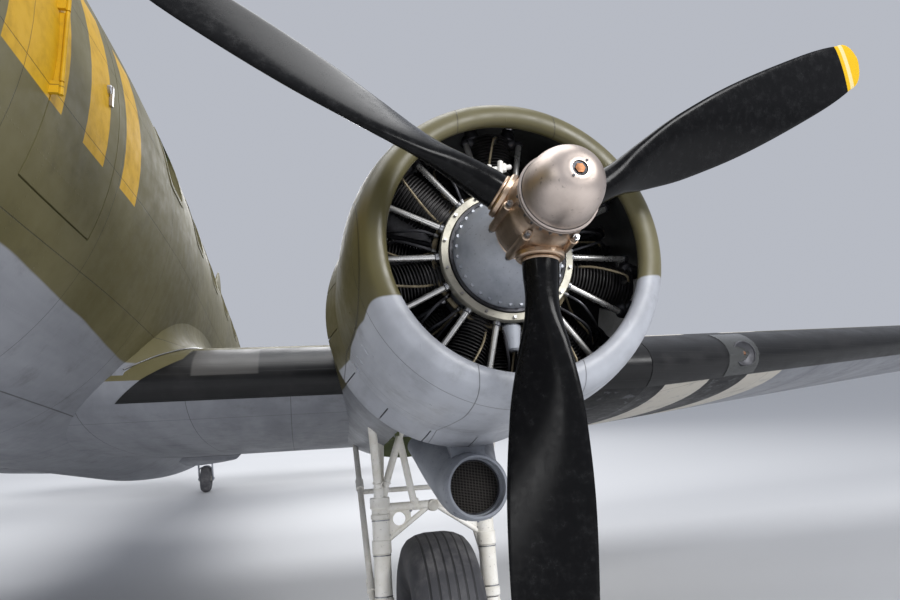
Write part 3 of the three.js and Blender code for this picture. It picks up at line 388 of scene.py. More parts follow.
def hull_solid(inset, start=HULL[0][0], end=HULL[-1][0]):
    """The fuselage with its cockpit hood, both drawn in by an inset."""
    near = [0, 0.01, 0.025, 0.06, 0.11, 0.17, 0.25, 0.35, 0.47, 0.6, 19.28, 19.3, 19.32, 19.33]
    ys = np.unique([*near, *stations(HULL, 0.22, 0.6, 19.25)])
    ys = np.unique([start, end, *ys[(ys > start) & (ys < end)]])
    hull = loft([body_ring(row, grow=-inset) for row in eased(HULL, ys)])
    hood = loft([body_ring(row, grow=-inset, power=2.3) for row in eased(CANOPY, stations(CANOPY, 0.12))])
    for side in (1, -1):
        cut(hood, screen_block(side, inset, (-2.5, 2.5), (-2.5, 2.5), (0, 2.5)))
    return fuse(hull, hood)


def nacelle_solid(grow):
    return loft([body_ring(row, 80, grow, 2, ENGINE_X) for row in eased(NACELLE, stations(NACELLE, 0.14))])


# The wing's plan. The leading edge starts at LEAD, and chords and heights run on from it.
ROOT_X, TIP_X, ROOT_CHORD = 4.35, 13.6, 4.32
LEAD_Y, LEAD_Z, SWEEP, TAPER = 5.15, -0.17, 0.2773, 0.2912
ROOT_RATIO, TIP_RATIO, CAMBER, CAMBER_PEAK = 0.15, 0.085, 0.02, 0.4
DIHEDRAL, INCIDENCE = math.radians(5), math.radians(2)
FOIL = [(1 + math.cos(math.pi * k / 28)) / 2 for k in range(28)]
TIP = [[TIP_X, 7.71503, 1.6264, 0.085], [14.08, 7.935, 1.31, 0.085], [14.38, 8.12, 0.96, 0.08],
       [14.55, 8.42, 0.42, 0.07]]


def foil_height(at, ratio, side):
    """Height of one side of the profile over its chord line, as shares of the chord."""
    bump = 0.2969 * math.sqrt(at) - 0.126 * at - 0.3516 * at ** 2 + 0.2843 * at ** 3 - 0.1015 * at ** 4
    peak = CAMBER_PEAK
    if at < peak:
        mean = CAMBER / peak ** 2 * (2 * peak * at - at ** 2)
    else:
        mean = CAMBER / (1 - peak) ** 2 * (1 - 2 * peak + 2 * peak * at - at ** 2)
    return mean + side * 5 * ratio * bump


def wing_row(x):
    """The wing's leading edge, chord and thickness at a station, drawn on straight past the tip."""
    out = max(0.0, x - ROOT_X)
    chord = ROOT_CHORD - out * TAPER
    root, tip = ROOT_RATIO * ROOT_CHORD, TIP_RATIO * (ROOT_CHORD - (TIP_X - ROOT_X) * TAPER)
    thick = root + (tip - root) * out / (TIP_X - ROOT_X)
    return {"x": x, "y": LEAD_Y + out * SWEEP, "z": LEAD_Z + out * math.tan(DIHEDRAL),
            "chord": chord, "ratio": thick / chord}


def tip_row(x):
    _, lead, chord, ratio = eased(TIP, x)[0]
    return {**wing_row(x), "y": lead, "chord": chord, "ratio": ratio}


def wing_point(row, at, side, grow=0.0):
    height = foil_height(at, row["ratio"], side) * row["chord"] + side * grow
    along = at * row["chord"]
    return Vector((row["x"], row["y"] + along * math.cos(INCIDENCE) + height * math.sin(INCIDENCE),
                   row["z"] + height * math.cos(INCIDENCE) - along * math.sin(INCIDENCE)))


def foil_ring(row, grow=0.0):
    upper = [wing_point(row, at, 1, grow) for at in FOIL]
    lower = [wing_point(row, at, -1, grow) for at in reversed(FOIL)]
    return [*upper, wing_point(row, 0, 0) - Vector((0, grow, 0)), *lower]


def middle_wing_solid(grow):
    return loft([foil_ring({**wing_row(0), "x": x}, grow) for x in (-ROOT_X, ROOT_X)])


# Materials
def srgb(r, g, b):
    lin = lambda v: v / 12.92 if v <= 0.04045 else ((v + 0.055) / 1.055) ** 2.4
    return (lin(r / 255), lin(g / 255), lin(b / 255), 1.0)


class Shade:
    """A material's node tree, with short calls for the nodes used here."""

    def __init__(self, name, **values):
        self.mat = bpy.data.materials.new(name)
        self.mat.use_nodes = True
        self.tree = self.mat.node_tree
        self.shader = self.tree.nodes["Principled BSDF"]
        for key, value in values.items():
            self.shader.inputs[key.replace("_", " ")].default_value = value

    def node(self, kind, inputs=(), **settings):
        made = self.tree.nodes.new("ShaderNode" + kind)
        for key, value in settings.items():
            setattr(made, key, value)
        for key, value in (inputs.items() if isinstance(inputs, dict) else enumerate(inputs)):
            if isinstance(value, bpy.types.NodeSocket):
                self.tree.links.new(value, made.inputs[key])
            elif value is not None:
                made.inputs[key].default_value = value
        return made

    def level(self):
        """Position in the aeroplane's own frame, and its three parts."""
        here = self.node("TexCoord").outputs["Object"]
        turned = self.node("Mapping", {"Vector": here}, vector_type="TEXTURE")
        turned.inputs["Location"].default_value = (0, SHIFT_Y, SHIFT_Z)
        turned.inputs["Rotation"].default_value = (-GROUND_ANGLE, 0, 0)
        self.at = turned.outputs[0]
        self.x, self.y, self.z = self.node("SeparateXYZ", [self.at]).outputs[:3]
        self.span = self.math("ABSOLUTE", self.x)
        return self

    def math(self, how, *values):
        return self.node("Math", values, operation=how).outputs[0]

    def add(self, a, b):
        return self.math("ADD", a, b)

    def mul(self, a, b):
        return self.math("MULTIPLY", a, b)

    def top(self, a, b):
        return self.math("MAXIMUM", a, b)

    def reach(self, a, b):
        """Length of two offsets square to each other."""
        return self.math("SQRT", self.add(self.math("POWER", a, 2.0), self.math("POWER", b, 2.0)))

    def noise(self, scale, detail=3.0, rough=0.5, stretch=None):
        at = self.at
        if stretch:
            at = self.node("VectorMath", [at, stretch], operation="MULTIPLY").outputs[0]
        inputs = {"Vector": at, "Scale": scale, "Detail": detail, "Roughness": rough}
        return self.node("TexNoise", inputs).outputs[0]

    def ramp(self, value, low, high, a=0.0, b=1.0):
        made = self.node("MapRange", {0: value, 1: low, 2: high, 3: a, 4: b}, interpolation_type="SMOOTHSTEP")
        return made.outputs[0]

    def mix(self, share, a, b):
        return self.node("Mix", {0: share, 6: a, 7: b}, data_type="RGBA").outputs[2]

    def inside(self, value, low, high, soft=0.004):
        over = self.ramp(value, low - soft, low + soft)
        return self.mul(over, self.ramp(value, high - soft, high + soft, 1, 0))

    def line(self, value, every, width, shift=0.0):
        """1 on thin lines that repeat along a value."""
        part = self.math("FRACT", self.math("DIVIDE", self.add(value, -shift), every))
        near = self.mul(self.math("ABSOLUTE", self.add(part, -0.5)), every)
        return self.ramp(near, every / 2 - width, every / 2 - width * 0.4)

    def nearest(self, value, every, shift=0.0):
        """Distance to the nearest of the lines that repeat along a value, with its sign."""
        part = self.math("FRACT", self.add(self.math("DIVIDE", self.add(value, -shift), every), 0.5))
        return self.mul(self.add(part, -0.5), every)

    def bump(self, height, distance=0.002, strength=1.0, after=None):
        inputs = {"Strength": strength, "Distance": distance, "Height": height, "Normal": after}
        return self.node("Bump", inputs).outputs[0]

    def put(self, **sockets):
        for key, value in sockets.items():
            self.tree.links.new(value, self.shader.inputs[key.replace("_", " ")])
        return self.mat


OLIVE, OLIVE_WORN = srgb(92, 86, 54), srgb(112, 106, 76)
GREY, GREY_DARK, PALE_GREY = srgb(150, 152, 158), srgb(128, 130, 136), srgb(186, 189, 196)
BLACK, WHITE = srgb(22, 22, 24), srgb(206, 200, 188)
YELLOW, YELLOW_WORN = srgb(205, 160, 18), srgb(184, 144, 30)
# Plain upright bars on the nose: where each starts and ends along it, and their foot and head
YELLOW_BARS = [(2.94, 3.41), (3.62, 3.84), (4.05, 4.27)]
BAR_FOOT, BAR_HEAD = 0.55, 1.3
# Edges of the white and black bands round each wing
STRIPES = [3.4, 3.9, 4.54, 4.98, 5.39, 5.79]
SEAM_WIDTH, RIVET_PITCH, RIVET_RADIUS = 0.0028, 0.025, 0.0042


def sheets(s, *sets):
    """Seams between sheets and heads of rivets, from two sets of lines: the value that the lines repeat along,
    the width of a sheet, a shift, the rows of rivets on each sheet and the value that runs down a row."""
    seams, heads = [], []
    for value, width, shift, rows, down in sets:
        seams.append(s.line(value, width, SEAM_WIDTH, shift))
        far = s.reach(s.nearest(down, RIVET_PITCH, RIVET_PITCH / 2), s.nearest(value, width / rows, shift))
        heads.append(s.ramp(far, RIVET_RADIUS * 0.5, RIVET_RADIUS, 1.0, 0.0))
    return s.top(*seams), s.top(*heads)


def hull_look(s):
    rise = s.mul(s.top(s.add(s.y, -9.6), 0.0), 0.12)
    rise = s.add(rise, s.ramp(s.y, 3.2, 5.0, 0.04, -0.05))
    edge = s.add(s.add(s.z, s.wave), s.mul(rise, -1.0))
    colour = s.mix(s.ramp(edge, -0.006, 0.006), s.grey, s.olive)
    for start, end in YELLOW_BARS:
        bar = s.mul(s.inside(s.y, start, end, 0.002), s.inside(s.z, BAR_FOOT, BAR_HEAD, 0.002))
        colour = s.mix(bar, colour, s.mix(s.ramp(s.fine, 0.4, 0.8), YELLOW, YELLOW_WORN))
    return colour, *sheets(s, (s.y, 0.93, 0.31, 3, s.z), (s.z, 0.47, 0.13, 2, s.y))


def fin_look(s):
    colour = s.mix(s.ramp(s.streaks, 0.35, 0.8), s.olive, OLIVE_WORN)
    return colour, *sheets(s, (s.z, 0.55, 0.1, 2, s.y), (s.y, 0.72, 0.0, 2, s.z))


def wing_look(s, colour):
    worn = s.top(s.ramp(s.noise(9.0, 5.0, 0.65), 0.28, 0.42), 0.75)
    for i, (start, end) in enumerate(zip(STRIPES, STRIPES[1:])):
        colour = s.mix(s.mul(s.inside(s.span, start, end), worn), colour, BLACK if i % 2 else WHITE)
    return colour, *sheets(s, (s.x, 0.62, 0.05, 2, s.y), (s.y, 0.86, 0.3, 4, s.x))


def nacelle_look(s):
    """Grey under olive, darkened behind the cowling by painted shade."""
    side = s.add(s.span, -ENGINE_X)
    slope = s.add(s.mul(side, -0.06), s.ramp(s.y, 3.28, 3.47, 0.0, 0.06))
    upper = s.ramp(s.add(s.add(s.z, s.wave), s.add(slope, 0.18)), -0.004, 0.006)
    colour = s.mix(upper, s.mix(s.ramp(s.streaks, 0.3, 0.75), PALE_GREY, GREY), s.olive)
    # Painted shade: a blotchy darkening behind the cowling, dark grey under and dark olive above
    aft_shade = s.mul(s.ramp(s.y, 4.3, 4.6), s.ramp(s.noise(2.2, 4.0), 0.2, 0.7, 0.45, 0.8))
    colour = s.mix(aft_shade, colour, s.mix(upper, srgb(86, 88, 92), srgb(66, 62, 44)))
    return colour, *sheets(s, (s.y, 0.61, 0.34, 2, s.z), (side, 0.42, 0.21, 2, s.y))


def skin_paint(name, look, specular=0.32, gloss=(0.45, 0.68)):
    """Weathered paint on riveted sheet. The look gives its colour, seams and rivets."""
    s = Shade(name, Metallic=0.0, Specular_IOR_Level=specular).level()
    s.broad = s.noise(1.1, 4.0, 0.55)
    s.fine = s.noise(14.0, 5.0, 0.6)
    s.streaks = s.noise(3.0, 4.0, 0.6, (1.0, 0.16, 1.0))
    s.olive = s.mix(s.ramp(s.broad, 0.35, 0.7), OLIVE, OLIVE_WORN)
    s.grey = s.mix(s.ramp(s.streaks, 0.3, 0.75), GREY, GREY_DARK)
    s.wave = s.mul(s.add(s.noise(1.7, 1.0), -0.5), 0.05)
    colour, seams, heads = look(s)
    grime = s.mul(s.ramp(s.noise(5.0, 6.0, 0.7), 0.5, 0.8), 0.35)
    colour = s.mix(grime, colour, srgb(52, 48, 40))
    colour = s.mix(s.mul(seams, 0.6), colour, srgb(28, 27, 24))
    chips = s.mul(s.ramp(s.noise(38.0, 4.0, 0.7), 0.71, 0.75), s.ramp(s.broad, 0.45, 0.6))
    colour = s.mix(s.mul(chips, 0.6), colour, srgb(168, 166, 160))
    height = s.add(s.add(s.mul(heads, 0.9), s.mul(seams, -1.2)), s.mul(s.fine, 0.12))
    dents = s.bump(s.noise(2.6, 2.0), 0.012, 0.35)
    return s.put(Base_Color=colour, Roughness=s.ramp(s.add(s.fine, s.streaks), 0.6, 1.4, *gloss),
                 Normal=s.bump(height, 0.0012, 0.6, dents))


def plain(name, colour, darker, rough=(0.35, 0.55), metal=0.0, scale=8.0, bumpy=0.0006):
    """One colour, clouded and specked."""
    s = Shade(name, Metallic=metal).level()
    tone = s.noise(scale, 5.0, 0.6)
    speck = s.noise(scale * 9, 3.0, 0.6)
    shade = s.mix(s.ramp(tone, 0.35, 0.75), srgb(*colour), srgb(*darker))
    shade = s.mix(s.mul(s.ramp(speck, 0.62, 0.72), 0.35), shade, srgb(40, 37, 32))
    return s.put(Base_Color=shade, Roughness=s.ramp(s.add(tone, s.mul(speck, 0.5)), 0.4, 1.1, *rough),
                 Normal=s.bump(speck, bumpy, 0.5))


def tyre_rubber():
    """Dusty grey rubber with grooves round the tread."""
    s = Shade("tyre_rubber", Metallic=0.0).level()
    dust = s.ramp(s.noise(7.0, 5.0, 0.65), 0.4, 0.75)
    colour = s.mix(s.mul(dust, 0.6), srgb(62, 62, 66), srgb(122, 120, 120))
    side = s.add(s.span, -ENGINE_X)
    ribs = s.mul(s.line(side, 0.054, 0.0085, 0.027), s.inside(side, -0.15, 0.15, 0.01))
    colour = s.mix(s.mul(ribs, 0.75), colour, srgb(22, 22, 23))
    return s.put(Base_Color=colour, Roughness=s.ramp(dust, 0.0, 1.0, 0.62, 0.85),
                 Normal=s.bump(s.math("SUBTRACT", s.mul(s.noise(90.0, 3.0), 0.08), ribs), 0.006, 0.8))


def boot_rubber():
    """Black rubber with long tube lines, and a worn pale patch on each inner boot."""
    s = Shade("deicer_rubber", Metallic=0.0, Specular_IOR_Level=0.35).level()
    wear = s.noise(5.0, 5.0, 0.6)
    colour = s.mix(s.ramp(wear, 0.4, 0.8), srgb(15, 15, 16), srgb(34, 33, 34))
    patch = s.mul(s.inside(s.span, 1.33, 1.72, 0.008), s.ramp(s.z, -0.158, -0.15))
    colour = s.mix(s.mul(patch, 0.75), colour, srgb(88, 86, 84))
    seam = s.line(s.z, 0.05, 0.0016, 0.012)
    return s.put(Base_Color=colour, Roughness=s.ramp(wear, 0.3, 0.8, 0.32, 0.5),
                 Normal=s.bump(s.math("SUBTRACT", s.mul(wear, 0.4), seam), 0.0015, 0.5))


def blade_finish():
    """Gloss black with a yellow tip and a thin pale band, lightly scuffed."""
    coat = {"Coat_Weight": 0.08, "Coat_IOR": 1.25, "Coat_Roughness": 0.12}
    s = Shade("blade_gloss", Metallic=0.0, IOR=1.22, **coat).level()
    radius = s.reach(s.reach(s.add(s.span, -ENGINE_X), s.z), s.add(s.y, -PROP_Y))
    scuffs = s.noise(26.0, 6.0, 0.7)
    colour = s.mix(s.ramp(scuffs, 0.45, 0.8), srgb(13, 13, 14), srgb(30, 30, 31))
    colour = s.mix(s.inside(radius, 1.647, 1.76, 0.002), colour, srgb(222, 178, 30))
    colour = s.mix(s.inside(radius, 1.668, 1.69, 0.002), colour, srgb(226, 208, 150))
    return s.put(Base_Color=colour, Roughness=s.ramp(scuffs, 0.35, 0.8, 0.16, 0.34),
                 Normal=s.bump(scuffs, 0.0004, 0.3))


def cooler_face():
    """Rows of small dark cells."""
    s = Shade("cooler_face", Metallic=0.8).level()
    cells = s.top(s.line(s.x, 0.016, 0.0016), s.line(s.z, 0.0075, 0.002))
    colour = s.mix(cells, srgb(9, 9, 9), srgb(84, 80, 76))
    return s.put(Base_Color=colour, Roughness=s.ramp(cells, 0, 1, 0.9, 0.4), Normal=s.bump(cells, 0.004, 1.0))


def glass(name, tint):
    s = Shade(name, Base_Color=srgb(*tint), Roughness=0.02, Transmission_Weight=0.85, IOR=1.45).level()
    return s.put(Normal=s.bump(s.noise(4.0, 3.0), 0.001, 0.2))


HULL_PAINT = skin_paint("hull_paint", hull_look)
FIN_PAINT = skin_paint("fin_paint", fin_look)
WING_TOP = skin_paint("wing_upper_paint", lambda s: wing_look(s, s.olive))
WING_UNDER = skin_paint("wing_lower_paint", lambda s: wing_look(s, s.grey))
NACELLE_PAINT = skin_paint("nacelle_paint", nacelle_look, 0.5, (0.3, 0.5))
PRIMER = plain("green_primer", (104, 112, 74), (78, 86, 56), (0.5, 0.7))
FLOOR = plain("floor_metal", (150, 150, 146), (118, 118, 114), (0.35, 0.6), 0.8)
BARE = plain("bare_steel", (176, 176, 178), (132, 132, 134), (0.22, 0.42), 1.0, 14.0)
DARK_STEEL = plain("dark_steel", (74, 74, 78), (44, 44, 47), (0.35, 0.6), 0.7, 12.0)
SILVER = plain("silver_ring", (186, 182, 168), (156, 152, 140), (0.42, 0.55), 0.5, 10.0)
POLISHED = plain("polished_steel", (236, 234, 230), (210, 208, 204), (0.24, 0.34), 0.8, 5.0, 0.0001)
DOME = plain("dome_metal", (214, 200, 190), (190, 176, 166), (0.36, 0.46), 1.0, 6.0)
BRONZE = plain("hub_bronze", (214, 190, 166), (172, 148, 126), (0.28, 0.42), 1.0, 9.0)
COPPER = plain("plug_bronze", (128, 88, 62), (88, 60, 42), (0.35, 0.5), 1.0, 30.0)
CASE = plain("crankcase_enamel", (186, 190, 198), (160, 165, 174), (0.26, 0.4), 0.1, 9.0)
FINS = plain("cylinder_fins", (64, 62, 62), (34, 33, 33), (0.45, 0.65), 0.5, 20.0)
WIRE = plain("ignition_lead", (150, 138, 112), (106, 96, 78), (0.4, 0.6), 0.4, 30.0)
EXHAUST = plain("exhaust_steel", (112, 92, 78), (64, 54, 48), (0.45, 0.7), 0.85, 7.0)
COOLER = plain("cooler_paint", (150, 154, 162), (128, 132, 140), (0.36, 0.5), 0.0, 6.0)
CREAM = plain("gear_cream", (252, 249, 242), (234, 229, 216), (0.3, 0.5), 0.0, 7.0)
# Painted shade for the faces inside the cowling
SHADE = plain("cowl_inside", (34, 36, 34), (20, 21, 20), (0.5, 0.7), 0.0, 6.0)
WHEEL = plain("wheel_paint", (170, 168, 160), (136, 132, 124), (0.35, 0.55), 0.2, 8.0)
SEAL = plain("black_seal", (26, 26, 27), (40, 40, 41), (0.45, 0.65), 0.0, 30.0)
RUBBER, BOOT, BLADE, CORE = tyre_rubber(), boot_rubber(), blade_finish(), cooler_face()
GLASS, LENS = glass("window_glass", (216, 226, 224)), glass("lamp_glass", (150, 152, 150))


# Fuselage
SHELL = cut(hull_solid(0.0), hull_solid(0.05, 0.5, 15.0))
PROUD = cut(hull_solid(-0.005), hull_solid(0.004, 0.4, 15.2))
SIDE_PANES = [(1.88, 2.28, 1.33, 1.8), (2.34, 2.76, 1.33, 1.79)]
WINDOWS = [5.12 + i for i in range(7)]
NOSE_END, CENTRE_END, REAR_END = 4.3, 10.4, 15.7
# Each door's hinge line, free edge, foot and head
DOORS = {
    "cargo_door_front": (12.2, 13.275, 0.245, 1.6), "cargo_door_rear": (14.35, 13.275, 0.245, 1.6),
    "crew_door": (3.3, 3.95, 0.245, 1.54),
}
HANDLE_Z = 0.92


def lined(obj):
    """Hull paint outside, and green primer on the faces that look into the fuselage."""
    def looks_in(centre, normal):
        _, _, top, bottom = row_at(HULL, centre.y)
        return normal.dot(Vector((centre.x, 0, centre.z - (top + bottom) / 2)).normalized()) < -0.3
    return repaint(paint(obj, HULL_PAINT, PRIMER), looks_in)


def door(name):
    """A leaf of the skin with its barrel and handle, the lugs that stay on the fuselage, and the hole."""
    hinge, free, low, high = DOORS[name]
    toward, reach = math.copysign(1, free - hinge), abs(free - hinge)
    _, half, top, bottom = row_at(HULL, hinge)
    x, z = half + 0.022, (top + bottom) / 2
    pin = lambda z0, z1, radius, sides: rod((x, hinge, z0), (x, hinge, z1), radius, sides)
    edge = math.hypot(reach, x - row_at(HULL, free)[1]) - 0.004
    leaf = keep(copy_of(SHELL), block(0.3, 2.5, hinge + toward * HINGE_GAP, hinge + toward * reach,
                                      low + HINGE_GAP, high - HINGE_GAP))
    keep(leaf, pin(z - 2, z + 2, edge, 128))
    barrel = painted(
        HULL_PAINT,
        block(half - 0.04, x - 0.003, hinge + toward * 0.009, hinge + toward * 0.017, z - 0.15, z + 0.15),
        block(half - 0.04, x - 0.006, hinge + toward * 0.001, hinge + toward * 0.017, z - 0.15, z + 0.15),
        pin(z - 0.15, z + 0.15, 0.0085, 24), pin(z - 0.2, z + 0.2, 0.005, 16))
    grip_y = hinge + toward * (reach - 0.13)
    wall = row_at(HULL, grip_y)[1]
    handle = painted(
        BARE, rod((wall - 0.03, grip_y, HANDLE_Z), (wall + 0.008, grip_y, HANDLE_Z), 0.026, 24, bevel=0.003),
        block(wall + 0.004, wall + 0.016, grip_y - 0.01, grip_y + 0.01, HANDLE_Z - 0.08, HANDLE_Z + 0.015))
    lugs = []
    for way in (1, -1):
        z0, z1 = z + way * 0.156, z + way * 0.206
        lug = block(half - 0.03, x - 0.004, hinge - toward * 0.018, hinge - toward * 0.002, z0, z1)
        lugs += painted(HULL_PAINT, lug, pin(z0, z1, 0.009, 24))
    hole = rounded(*sorted((hinge, free + toward * 0.004)), low, high, 0.3, 2.5, 0.01)
    return merge([lined(leaf), *barrel, *handle]), lugs, hole


def window_tools():
    """The holes of all the windows, each with a wider one for its frame."""
    panes = [(*pane, 0.028, 0.05) for pane in SIDE_PANES]
    panes += [(y - 0.2, y + 0.2, 1.01, 1.37, 0.03, 0.09) for y in WINDOWS]
    for side in (1, -1):
        yield (screen_block(side, 0, (0.045, 0.64), (0.06, 0.64), (-0.16, 0.2)),
               screen_block(side, 0, (0.02, 0.67), (0.03, 0.67), (-0.15, 0.19)))
        for y0, y1, z0, z1, rim, corner in panes:
            yield [rounded(y0 - w, y1 + w, z0 - w, z1 + w, side * 0.5, side * 1.5, radius)
                   for w, radius in ((0, corner), (rim, corner + 0.02))]


def section(low, high, name, *tools, extras=()):
    """A length of the fuselage's skin."""
    piece = cut(keep(copy_of(SHELL), block(-3, 3, low, high, -3, 4)), *tools)
    dress(merge([lined(piece), *extras]), "skin_" + name, replaces=[name])


doors = {name: door(name) for name in DOORS}
frames = {NOSE_END: [], CENTRE_END: [], REAR_END: []}
for hole, wider in window_tools():
    rim = cut(keep(copy_of(PROUD), wider), copy_of(hole))
    middle = sum(v.co.y for v in rim.data.vertices) / len(rim.data.vertices)
    frames[min(end for end in frames if middle < end)] += painted(HULL_PAINT, rim)
    cut(SHELL, hole)
for _, _, hole in doors.values():
    cut(SHELL, hole)

# The tail surfaces. Columns: station across or up, leading edge, chord, thickness as a share of the chord.
TAILPLANE = [
    [0, 15.85, 2.7, 0.1], [3.3, 16.83, 1.62, 0.09], [3.85, 17.08, 1.23, 0.08], [4.065, 17.36, 0.74, 0.07],
    [4.1, 17.46, 0.5, 0.06], [4.115, 17.56, 0.26, 0.05],
]
FIN = [
    [1.3, 15.3, 4.05, 0.055], [1.7, 16.05, 3.32, 0.065], [2.3, 16.76, 2.66, 0.08], [3.4, 17.24, 2.16, 0.085],
    [4.15, 17.6, 1.6, 0.085], [4.6, 17.93, 1.08, 0.08], [4.85, 18.26, 0.48, 0.07], [4.88, 18.33, 0.34, 0.06],
    [4.892, 18.4, 0.19, 0.05],
]
TAIL_Z, SLOT_HALF = 1.48, 0.42


def thick_at(at, ratio):
    return (foil_height(at, ratio, 1) - foil_height(at, ratio, -1)) / 2


def half_thick(table, at, y):
    _, lead, chord, ratio = row_at(table, at)
    return thick_at((y - lead) / chord, ratio) * chord


def tail_solid(rows, grow, place):
    """A surface through rows of its table. Place makes a point from a station, Y and a half thickness."""
    rings = []
    for at, lead, chord, ratio in rows:
        skin = [(lead + share * chord, thick_at(share, ratio) * chord + grow) for share in FOIL]
        upper = [place(at, y, thick) for y, thick in skin]
        lower = [place(at, y, -thick) for y, thick in reversed(skin)]
        rings.append([*upper, place(at, lead - grow, 0), *lower])
    return loft(rings)


def tailplane_solid(grow):
    half = eased(TAILPLANE, [0, 1.1, 2.2, 3.3, 3.5, 3.7, 3.85, 3.93, 4, 4.04, 4.065, 4.085, 4.1, 4.11, 4.115])
    rows = [[-x, *rest] for x, *rest in half[:0:-1]] + list(half)
    return tail_solid(rows, grow, lambda x, y, t: (x, y, TAIL_Z + t))


def fin_solid(grow):
    rows = eased(FIN, [*np.linspace(1.3, 4.75, 26), 4.8, 4.83, 4.85, 4.867, 4.88, 4.888, 4.892])
    return tail_solid(rows, grow, lambda z, y, t: (t, y, z))


section(-0.1, NOSE_END, "fuselage_nose", extras=frames[NOSE_END] + doors["crew_door"][1])
section(NOSE_END + PARTING, CENTRE_END, "fuselage_centre", middle_wing_solid(PARTING),
        extras=frames[CENTRE_END])
section(CENTRE_END + PARTING, REAR_END, "fuselage_rear",
        extras=frames[REAR_END] + doors["cargo_door_front"][1] + doors["cargo_door_rear"][1])
slot = cut(tailplane_solid(PARTING), block(-SLOT_HALF, SLOT_HALF, 17.75 + PARTING, 19, 1, 2))
section(REAR_END + PARTING, 19.4, "fuselage_tail", slot)
for name, (leaf, _, _) in doors.items():
    dress(leaf, "leaf_" + name, name, replaces=[name])
panes = cut(hull_solid(0.05 + PARTING), hull_solid(0.062 + PARTING))
dress(keep(copy_of(panes), block(-1.3, 1.3, 1.14, 2.9, 1.27, 1.9)), "cockpit_glass", slot="glazing",
      replaces=["cockpit_glazing"], material=GLASS)
for word, side in SIDES.items():
    dress(keep(copy_of(panes), block(side * 0.5, side * 1.5, 4.88, 11.36, 0.97, 1.41)), "cabin_glass_" + word,
          slot="glazing", replaces=["cabin_panes_" + word], material=GLASS)


# Wing
def two_sided(obj, top, under):
    """Gives the faces that look up one paint and the rest the other."""
    return repaint(paint(obj, top, under), lambda centre, normal: normal.z <= 0.02)


def hinge_matrix(a, b):
    """Stands X along a hinge line, with Y aft, and tells how long the line is."""
    a, b = Vector(a), Vector(b)
    x = (b - a).normalized()
    z = x.cross(Vector((0, 1, 0))).normalized()
    m = Matrix((x, z.cross(x), z)).transposed().to_4x4()
    m.translation = a
    return m, (b - a).length


def hung(carrier, skin, hinge, marks, depth):
    """Parts a surface with a round nose from what carries it. Marks: places on the hinge, half thicknesses."""
    m, length = hinge
    made = []
    for gap, grow in ((0, -0.002), (HINGE_GAP, 0.01)):
        region = placed(block(-gap, length + gap, -gap, depth, -depth, depth), m)
        nose = [(half + grow, at) for at, half in marks]
        nose[0] = (nose[0][0], nose[0][1] - gap)
        nose[-1] = (nose[-1][0], nose[-1][1] + gap)
        profile = [(0, nose[0][1]), *nose, (0, nose[-1][1])]
        made.append(fuse(region, placed(spin(profile, 32, (0, 0, 0), (1, 0, 0)), m)))
    return keep(skin, made[0]), cut(carrier, made[1])


def outer_solid():
    rows = [wing_row(ROOT_X + PARTING), wing_row(TIP_X)]
    rows += [tip_row(x) for x in (13.72, 13.85, 13.97, 14.08, 14.2, 14.3, 14.38, 14.44, 14.49, 14.53, 14.55)]
    return loft([foil_ring(row) for row in rows])


FLAP_AT = (0.8, 0.83, 0.86, 0.89, 0.92, 0.945, 0.965)


def flap_plate(x0, x1, gap):
    """A split flap's plate, or with a gap the room that it leaves."""
    rings = []
    for x in (x0 - 0.12, x1 + 0.12):
        low = [wing_point(wing_row(x), at, -1) for at in FLAP_AT]
        top = [low[-1] + Vector((0, 0, 0.012 + gap)), low[0] + Vector((0, 0, 0.03 + gap))]
        if gap:
            low = [p + Vector((0, gap if p is low[-1] else 0, -0.06)) for p in low]
            top[0] += Vector((0, gap, 0))
        rings.append([*low, *top])
    return loft(rings)


def split_flap(carrier, x0, x1):
    """Parts a split flap with its hinge rod from the wing that carries it."""
    ends = [wing_point(wing_row(x), FLAP_AT[0], -1) + Vector((0, 0, 0.015)) for x in (x0, x1)]
    m, length = hinge_matrix(*ends)
    made = []
    for gap, radius in ((0, 0.013), (HINGE_GAP, 0.021)):
        plate = keep(flap_plate(x0, x1, gap), placed(block(-gap, length + gap, 0, 1.2, -0.2, 1.2), m))
        made.append(fuse(plate, placed(rod((-gap, 0, 0), (length + gap, 0, 0), radius, 20), m)))
    return made[0], cut(carrier, made[1])


# Where the wing meets the fuselage. Columns: station, radius of the fillet.
FILLET = [[5.16, 0.04], [5.4, 0.15], [6.2, 0.24], [7.4, 0.36], [8.6, 0.52], [9.4, 0.56], [9.9, 0.36],
          [10.3, 0.09]]


def top_of_wing(y):
    row = wing_row(0)
    return wing_point(row, min(0.999, max(0.005, (y - row["y"]) / row["chord"])), 1).z


def fillet(side):
    """The fairing over one root of the wing, and the strip along its outer edge."""
    rings, edge = [], []
    for y, radius in eased(FILLET, np.linspace(5.16, 10.3, 44)):
        base = top_of_wing(y) - 0.006
        _, half, top, bottom = eased(HULL, y)[0]
        middle, height = (top + bottom) / 2, (top - bottom) / 2
        wall = lambda z: half * math.sqrt(max(0, 1 - ((z - middle) / height) ** 2))
        foot, head = wall(base) + radius, base + radius
        arc = [(foot - (foot - wall(head) + 0.004) * math.sin(t), head - radius * math.cos(t))
               for t in (math.pi / 2 * k / 12 for k in range(13))]
        outline = [*arc, (0.5, head), (0.5, base - 0.06), (foot, base - 0.06)]
        rings.append([(side * x, y, z) for x, z in outline])
        edge.append((side * (foot + 0.002), y, base + 0.008))
    return paint(cut(loft(rings), hull_solid(-PARTING)), HULL_PAINT), paint(tube(edge[:12], 0.005, 8), BARE)


